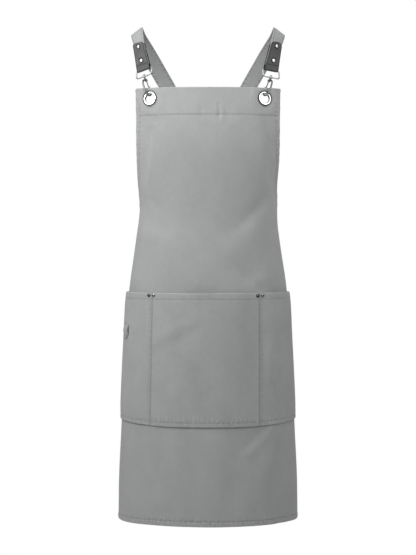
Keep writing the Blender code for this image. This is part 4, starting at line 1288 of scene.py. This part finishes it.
def strap_keys(side):
    rows = np.array(STRAP_FRONT[side] + STRAP_OVER) * STRAP_SCALE
    crossing = len(STRAP_FRONT[side]) + CROSSING_ROW
    for row, share in ((crossing - 1, 0.4), (crossing, 1.0), (crossing + 1, 0.4)):
        rows[row, 1] += side * STRAP_CROSSING_LIFT * share
    rows = np.concatenate([rows, strap_end_rows(side)])
    return walk_along(rows[:, :3]), rows


STRAP_KEYS = {side: strap_keys(side) for side in SIDES}


def strap_frame(side, walked):
    """Middle, across (outer to inner edge), outward and ahead directions along a strap."""
    walked = np.atleast_1d(walked)
    step = 0.5 * MM
    before, row, after = (through(*STRAP_KEYS[side], walked + shift) for shift in (-step, 0.0, step))
    middle = row[:, :3] * (side, 1.0, 1.0) + (0.0, 0.0, BIB_TOP_Z)
    across = unit(row[:, 3:] * (-side, -1.0, 1.0))
    ahead = unit((after - before)[:, :3] * (side, 1.0, 1.0))
    return middle, across, unit(np.cross(across, ahead) * -side), ahead


def strap_relief(place, walked, face):
    """Height, distance to the stitched line and shade on either face of a strap."""
    edge = STRAP_WIDTH / 2 - np.abs(place)
    line = np.abs(edge - STRAP_LINE)
    rise = ridge(line, -0.30, 1.2) + 0.12 * MM * smooth_step((edge - 3.5 * MM) / (4 * MM))
    return rise + ridge(edge - 2 * MM, 0.09, 3.0) * uneven(walked, 0.013, 1.0 + face), line, 0.0


def make_strap(side):
    length = STRAP_KEYS[side][0][-1]
    walked = np.append(np.arange(STRAP_START, length, 0.0042), length)
    middle, across, _, _ = strap_frame(side, walked)
    shape = Shape()
    add_ribbon(shape, middle, across, STRAP_WIDTH / 2, STRAP, walked, 17, strap_relief, -side)
    place_piece(shape.build(f"strap_cloth_{WORDS[side]}", "strap_canvas"), f"strap_{WORDS[side]}")
    stitches = Shape()
    at = np.arange(TAB_LENGTH[side] + 0.002, length - 0.002, 0.004)
    middle, across, outward, _ = strap_frame(side, at)
    for edge in SIDES:
        place = edge * (STRAP_WIDTH / 2 - STRAP_LINE)
        for face in SIDES:
            height = face * (STRAP / 2 + strap_relief(place, at, face)[0])[:, None]
            add_stitches(stitches, middle + across * place + outward * height, outward * face)
    place_sewing(stitches, f"strap_stitches_{WORDS[side]}")


def tab_half_width(side, walked):
    corner = TAB_CORNER[side]
    left = np.clip(TAB_LENGTH[side] - walked, 0.0, corner)
    return TAB_WIDTH / 2 - corner + np.sqrt(np.maximum(0.0, corner**2 - (corner - left) ** 2))


def tab_relief(side, place, walked, face):
    """The leather sinks round its rivets, creases above the bar and domes between its edges. The shade it
    returns is painted shade: dark in the crease and fainter below it, round the bar.
    """
    whole = 2 * TAB_LENGTH[side] + math.pi * (WIRE + BAR_CLEAR + TAB / 2)
    run = TAB_LENGTH[side] - np.minimum(walked, whole - walked)
    near = np.full(np.broadcast(place, walked).shape, FAR)
    for rivet in TAB_RIVETS[side]:
        near = np.minimum(near, np.hypot(place, run - rivet) - RIVET_HEAD)
    near = np.maximum(near, 0.0)
    crease = bump(run - TAB_CREASE, 1.7 * MM)
    rise = 0.10 * MM * np.cos(place / (TAB_WIDTH / 2) * math.pi / 2) - 0.04 * MM
    rise = rise + ridge(near, -0.16, 1.3) - 0.14 * MM * crease
    below = smooth_step((TAB_CREASE - run) / (3 * MM))
    # Painted shade: dark in the crease, and a fainter painted shadow below it where the leather wraps the
    # bar.
    return rise, near, np.maximum(0.92 * crease, 0.30 * below)


def make_tab(side):
    """The leather from its outer end down to the bar, round it and up again behind the strap."""
    far = TAB_LENGTH[side]
    beside = STRAP / 2 + 2 * SEWN_GAP + TAB / 2
    at_bar = WIRE + BAR_CLEAR + TAB / 2
    ends = far - mm(0.0, 0.05, 0.2, 0.5, 1.0, 1.8, 2.8, 4.0, 5.2)
    run = np.concatenate([ends, np.linspace(far - 0.0065, 0.001, 56)])
    out = beside + (at_bar - beside) * smooth_step(1.0 - run / TAB_EASE)
    angles = np.radians(np.linspace(90, -90, 19))
    walked = np.concatenate([run, -at_bar * np.cos(angles), run[::-1]])[:, None]
    out = np.concatenate([out, at_bar * np.sin(angles), -out[::-1]])[:, None]
    beyond, walked = np.minimum(walked, 0.0), np.maximum(walked, 0.0)[:, 0]
    middle, across, outward, ahead = strap_frame(side, walked)
    centre = middle + ahead * beyond + outward * out
    finish = functools.partial(tab_relief, side)
    half = tab_half_width(side, walked)
    shape = Shape()
    add_ribbon(shape, centre, across, half, TAB, walk_along(centre), 25, finish, side)
    name = f"leather_{WORDS[side]}"
    place_piece(shape.build(name, name), f"leather_tab_{WORDS[side]}")


# Metal


def rivet_shape(base, facing, low, high, head):
    """A rivet from its domed head above high to its washer below low, with painted shade on its rim."""
    top, bottom = high + RIVET_CLEAR, low - RIVET_CLEAR
    angles = np.linspace(math.pi / 2, 0.15, 8)
    dome = [(head * 0.86 * math.cos(a), top + RIVET_DOME * (0.25 + 0.75 * math.sin(a))) for a in angles]
    profile = [(0.0, dome[0][1])] + dome[1:] + [
        (head * 0.90, top + 0.34 * MM),
        (head * 0.97, top + 0.30 * MM),
        (head, top + 0.16 * MM),
        (head * 0.98, top - 0.05 * MM),
        (RIVET_SHANK, top - 0.05 * MM),
        (RIVET_SHANK, bottom),
        (head * 0.84, bottom),
        (head * 0.86, bottom - 0.3 * MM),
        (head * 0.78, bottom - RIVET_WASHER),
        (head * 0.40, bottom - RIVET_WASHER * 1.02),
        (0.0, bottom - RIVET_WASHER),
    ]
    # Painted shade on the head's outer rim.
    rim = [float(head * 0.88 < radius and height > bottom) for radius, height in profile]
    shape = Shape()
    add_turned(shape, profile, 32, base, facing, rim)
    return shape


def make_tab_rivets(side):
    reach = STRAP / 2 + 2 * SEWN_GAP + TAB
    for level, walked in zip(("lower", "upper"), TAB_RIVETS[side]):
        middle, _, outward, _ = strap_frame(side, walked)
        shape = rivet_shape(middle[0], outward[0], -reach, reach, RIVET_HEAD)
        made = shape.build(f"rivet_{WORDS[side]}_{level}", "rivet_nickel")
        place_piece(made, f"strap_rivet_{WORDS[side]}_{level}")


def make_pocket_rivets():
    for name, (across, below_top, look) in POCKET_RIVETS.items():
        down = POCKET_TOP + below_top
        base, facing = cad_face(across, down), normal_of(cad_face, across, down)
        high = float(pocket_out(across, down)) + POCKET_FOLDED
        shape = rivet_shape(base, facing, -CLOTH - FACET_CLEAR, high, POCKET_RIVET_HEAD)
        place_piece(shape.build(f"pocket_stud_{name}", look), f"pocket_rivet_{name}")


def make_eyelet(side):
    """The rolled front, the barrel through the cloth and the flat washer behind."""
    _, _, centre, facing = EYELET_PLANES[side]
    high, low = SEWN_GAP, -FOLDED_CLOTH - SEWN_GAP
    barrel = EYELET_BORE + 0.8 * MM
    corners = [
        (EYELET_BORE + 0.1 * MM, low - EYELET_ROLL * 0.4),
        (EYELET_BORE, high + EYELET_ROLL * 0.5),
        (EYELET_BORE + 0.9 * MM, high + EYELET_ROLL),
        (EYELET_OUTER - 2.2 * MM, high + EYELET_ROLL * 0.95),
        (EYELET_OUTER, high + EYELET_ROLL * 0.35),
        (EYELET_OUTER - 0.1 * MM, high - 0.1 * MM),
        (EYELET_OUTER - 0.8 * MM, high - 0.1 * MM),
        (barrel, high - 0.1 * MM),
        (barrel, low + 0.1 * MM),
        (EYELET_OUTER - 1.4 * MM, low + 0.1 * MM),
        (EYELET_OUTER - 1.0 * MM, low - EYELET_ROLL * 0.3),
        (EYELET_OUTER - 1.6 * MM, low - EYELET_ROLL * 0.7),
        (barrel, low - EYELET_ROLL),
    ]
    profile = soft_profile(corners, 0.7 * MM, 6, closed=True)
    radius = profile[:, 0]
    # Painted shade: dark outlines on the roll's outer edge and, a little lighter, at the lip of the bore.
    outer = smooth_step((radius - (EYELET_OUTER - 2.3 * MM)) / (0.6 * MM))
    inner = smooth_step(((EYELET_BORE + 1.5 * MM) - radius) / (0.6 * MM))
    shape = Shape()
    add_turned(shape, profile, 64, centre, facing, np.maximum(outer, 0.8 * inner))
    place_piece(shape.build(f"grommet_{WORDS[side]}", "nickel"), f"eyelet_{WORDS[side]}")


def hook_frame(side):
    """The hook's foot, its rising, front and sideways directions, and the ring's bar."""
    out, back, up, turn = RINGS[side]
    bar = np.array([side * out, back, BIB_TOP_Z + up])
    _, _, centre, facing = EYELET_PLANES[side]
    level = unit(np.cross([0.0, 0.0, 1.0], facing))
    outer = level if level[0] * side > 0 else -level
    steep = np.cross(level, facing)
    steep = steep if steep[2] > 0 else -steep
    foot = centre - facing * FOLDED_CLOTH / 2 + outer * HOOK_SEAT[0] + steep * HOOK_SEAT[1]
    rising = unit(bar - foot)
    front = unit(facing - rising * (facing @ rising))
    swing = Matrix.Rotation(math.radians(side * turn), 3, Vector(rising))
    front = np.array(swing @ Vector(front))
    return foot, rising, front, np.cross(front, rising), bar


HOOK_FRAMES = {side: hook_frame(side) for side in SIDES}


def hook_point(side, ahead, up):
    foot, rising, front, _, _ = HOOK_FRAMES[side]
    return foot + rising * up + front * ahead


def make_ring(side):
    """A square wire ring with a collar on its lower bar for the hook's stem."""
    upper, across, _, _ = (part[0] for part in strap_frame(side, 0.0))
    _, rising, _, _, bar = HOOK_FRAMES[side]
    down = bar - upper
    down = down - across * (down @ across)
    height = float(np.linalg.norm(down))
    down = down / height
    half = TAB_WIDTH / 2 + RING_SIDE_GAP + WIRE
    points = []
    for turn_from, end, low, corner in (
        (90, half, RING_UPPER_CORNER, RING_UPPER_CORNER),
        (0, half, height - RING_LOWER_CORNER, RING_LOWER_CORNER),
        (-90, -half, height - RING_LOWER_CORNER, RING_LOWER_CORNER),
        (-180, -half, RING_UPPER_CORNER, RING_UPPER_CORNER),
    ):
        middle = end - math.copysign(corner, end)
        for step in range(10):
            angle = math.radians(turn_from - 10.0 * step)
            sideways = middle + corner * math.cos(angle)
            points.append(upper + across * sideways + down * (low - corner * math.sin(angle)))
    shape = Shape()
    add_tube(shape, points, WIRE, 14, closed=True)
    hole = STEM + STEM_CLEAR
    corners = [
        (hole, -COLLAR_HALF),
        (COLLAR, -COLLAR_HALF),
        (COLLAR, -COLLAR_HALF * 0.35),
        (COLLAR * 0.9, 0.0),
        (COLLAR, COLLAR_HALF * 0.35),
        (COLLAR, COLLAR_HALF),
        (hole, COLLAR_HALF),
    ]
    add_turned(shape, soft_profile(corners, 0.55 * MM, 4, closed=True), 28, bar, rising)
    place_piece(shape.build(f"square_ring_{WORDS[side]}", "grey_nickel"), f"ring_{WORDS[side]}")


def add_barrel(shape, side, at, radius, start, end):
    """A short round barrel across the hook, with softened ends."""
    corners = [(0.0, start), (radius, start), (radius, end), (0.0, end)]
    profile = soft_profile(corners, 0.4 * MM)
    add_turned(shape, profile, 28, hook_point(side, *at), HOOK_FRAMES[side][3])


def make_hook(side):
    """The bent body, the head's cheeks with the gate's pin, and the swivel stem."""
    knots = walk_along(HOOK_BODY[:, :2])
    smooth = through(knots, HOOK_BODY, np.linspace(0.0, knots[-1], 64))
    points = np.array([hook_point(side, ahead, up) for ahead, up, _ in smooth])
    shape = Shape()
    add_tube(shape, *rounded_ends(points, HOOK_WIRE * smooth[:, 2]), 16)
    inner = EYE_HALF + PIN_CLEAR
    wide = inner + CHEEK
    add_barrel(shape, side, HOOK_BODY[0, :2], HOOK_HEAD * 0.92, -wide, wide)
    for first, last in ((-wide, -inner), (inner, wide)):
        add_barrel(shape, side, GATE_PIN, GATE_EYE, first, last)
        add_barrel(shape, side, GATE_PIN + CHEEK_STEP, HOOK_HEAD * 0.9, first, last)
    add_barrel(shape, side, GATE_PIN, PIN, -wide - 0.25 * MM, wide + 0.25 * MM)
    foot, rising, _, _, bar = HOOK_FRAMES[side]
    top = float(np.linalg.norm(bar - foot)) + COLLAR_HALF + STEM_CLEAR
    low = HOOK_BODY[0, 1] + 0.5 * MM
    corners = [
        (0.0, low),
        (HOOK_HEAD * 0.95, low),
        (HOOK_HEAD * 0.95, low + 1.5 * MM),
        (STEM * 1.05, low + 2.6 * MM),
        (STEM, low + 3.4 * MM),
        (STEM, top),
        (STEM * 1.9, top),
        (STEM * 1.9, top + 1.3 * MM),
        (0.0, top + 1.3 * MM),
    ]
    add_turned(shape, soft_profile(corners, 0.35 * MM, 3), 28, foot, rising)
    place_piece(shape.build(f"snap_hook_{WORDS[side]}", "hook_nickel"), f"hook_{WORDS[side]}")


def make_gate(side):
    start, end = hook_point(side, *GATE_END), hook_point(side, *GATE_HEAD)
    points = start + (end - start) * np.linspace(0.0, 1.0, 12)[:, None]
    shape = Shape()
    add_tube(shape, *rounded_ends(points, GATE_WIRE), 14)
    inner = PIN + PIN_CLEAR
    corners = [(inner, -EYE_HALF), (GATE_EYE, -EYE_HALF), (GATE_EYE, EYE_HALF), (inner, EYE_HALF)]
    profile = soft_profile(corners, 0.3 * MM, 3, closed=True)
    add_turned(shape, profile, 28, hook_point(side, *GATE_PIN), HOOK_FRAMES[side][3])
    made = shape.build(f"snap_gate_{WORDS[side]}", "dark_and_shaded_nickel")
    place_piece(made, f"gate_{WORDS[side]}", f"gate_{WORDS[side]}_body")


# Floor, light and camera


def make_floor():
    turn = np.linspace(0.0, 2 * math.pi, FLOOR_SIDES, endpoint=False)
    rim = [(FLOOR_RADIUS * math.cos(a), FLOOR_RADIUS * math.sin(a), FLOOR_Z) for a in turn]
    mesh = bpy.data.meshes.new("floor")
    mesh.from_pydata(rim, [], [tuple(range(FLOOR_SIDES))])
    n = new_material("floor")
    base = n.mix(n.noise(n.coordinates(), 3.0, 2.0), *FLOOR_GREYS)
    mesh.materials.append(n.done(Base_Color=base, Roughness=0.9))
    add_object("floor", mesh)


def make_world():
    """A white backdrop for the picture; a dimmer room, brighter overhead, for the light."""
    n = Nodes(bpy.data.worlds.new("studio"), "Background")
    height = n.split(n.coordinates("Generated"))[2]
    glow = n.spread(height, -0.2, 0.8, WORLD_LOW, WORLD_HIGH)
    seen = n.add("ShaderNodeLightPath").outputs["Is Camera Ray"]
    strength = n.math("MAXIMUM", seen, glow)
    bpy.context.scene.world = n.done(Color=(1.0, 1.0, 1.0, 1.0), Strength=strength)


def make_light(name, place, towards, size, energy):
    light = bpy.data.lights.new(name, "AREA")
    light.shape = "SQUARE"
    light.size = size
    light.energy = energy
    made = add_object(name, light)
    made.visible_camera = False
    made.location = place
    direction = Vector(towards) - Vector(place)
    made.rotation_euler = direction.to_track_quat("-Z", "Y").to_euler()


def make_camera():
    data = bpy.data.cameras.new("camera")
    data.sensor_fit = "AUTO"
    data.sensor_width = SENSOR
    data.lens = SENSOR / (PICTURE_HIGH / FRONT_DISTANCE)
    camera = add_object("camera", data)
    camera.location = (0.0, -CAMERA_BACK, CAMERA_Z)
    camera.rotation_euler = (math.pi / 2 - CAMERA_PITCH, 0.0, 0.0)
    bpy.context.scene.camera = camera


make_camera()
make_world()
make_floor()
for name, light in LIGHTS.items():
    make_light(name, *light)
bpy.context.scene.view_settings.view_transform = "Standard"

apron = make_apron_cloth()
apron_sewing = make_apron_stitches()
pocket = make_pocket_cloth()
pocket_sewing = make_pocket_stitches()
make_side_loop()
make_pocket_rivets()
for side in SIDES:
    make_strap(side)
    make_tab(side)
    make_tab_rivets(side)
    make_eyelet(side)
    make_ring(side)
    make_hook(side)
    make_gate(side)
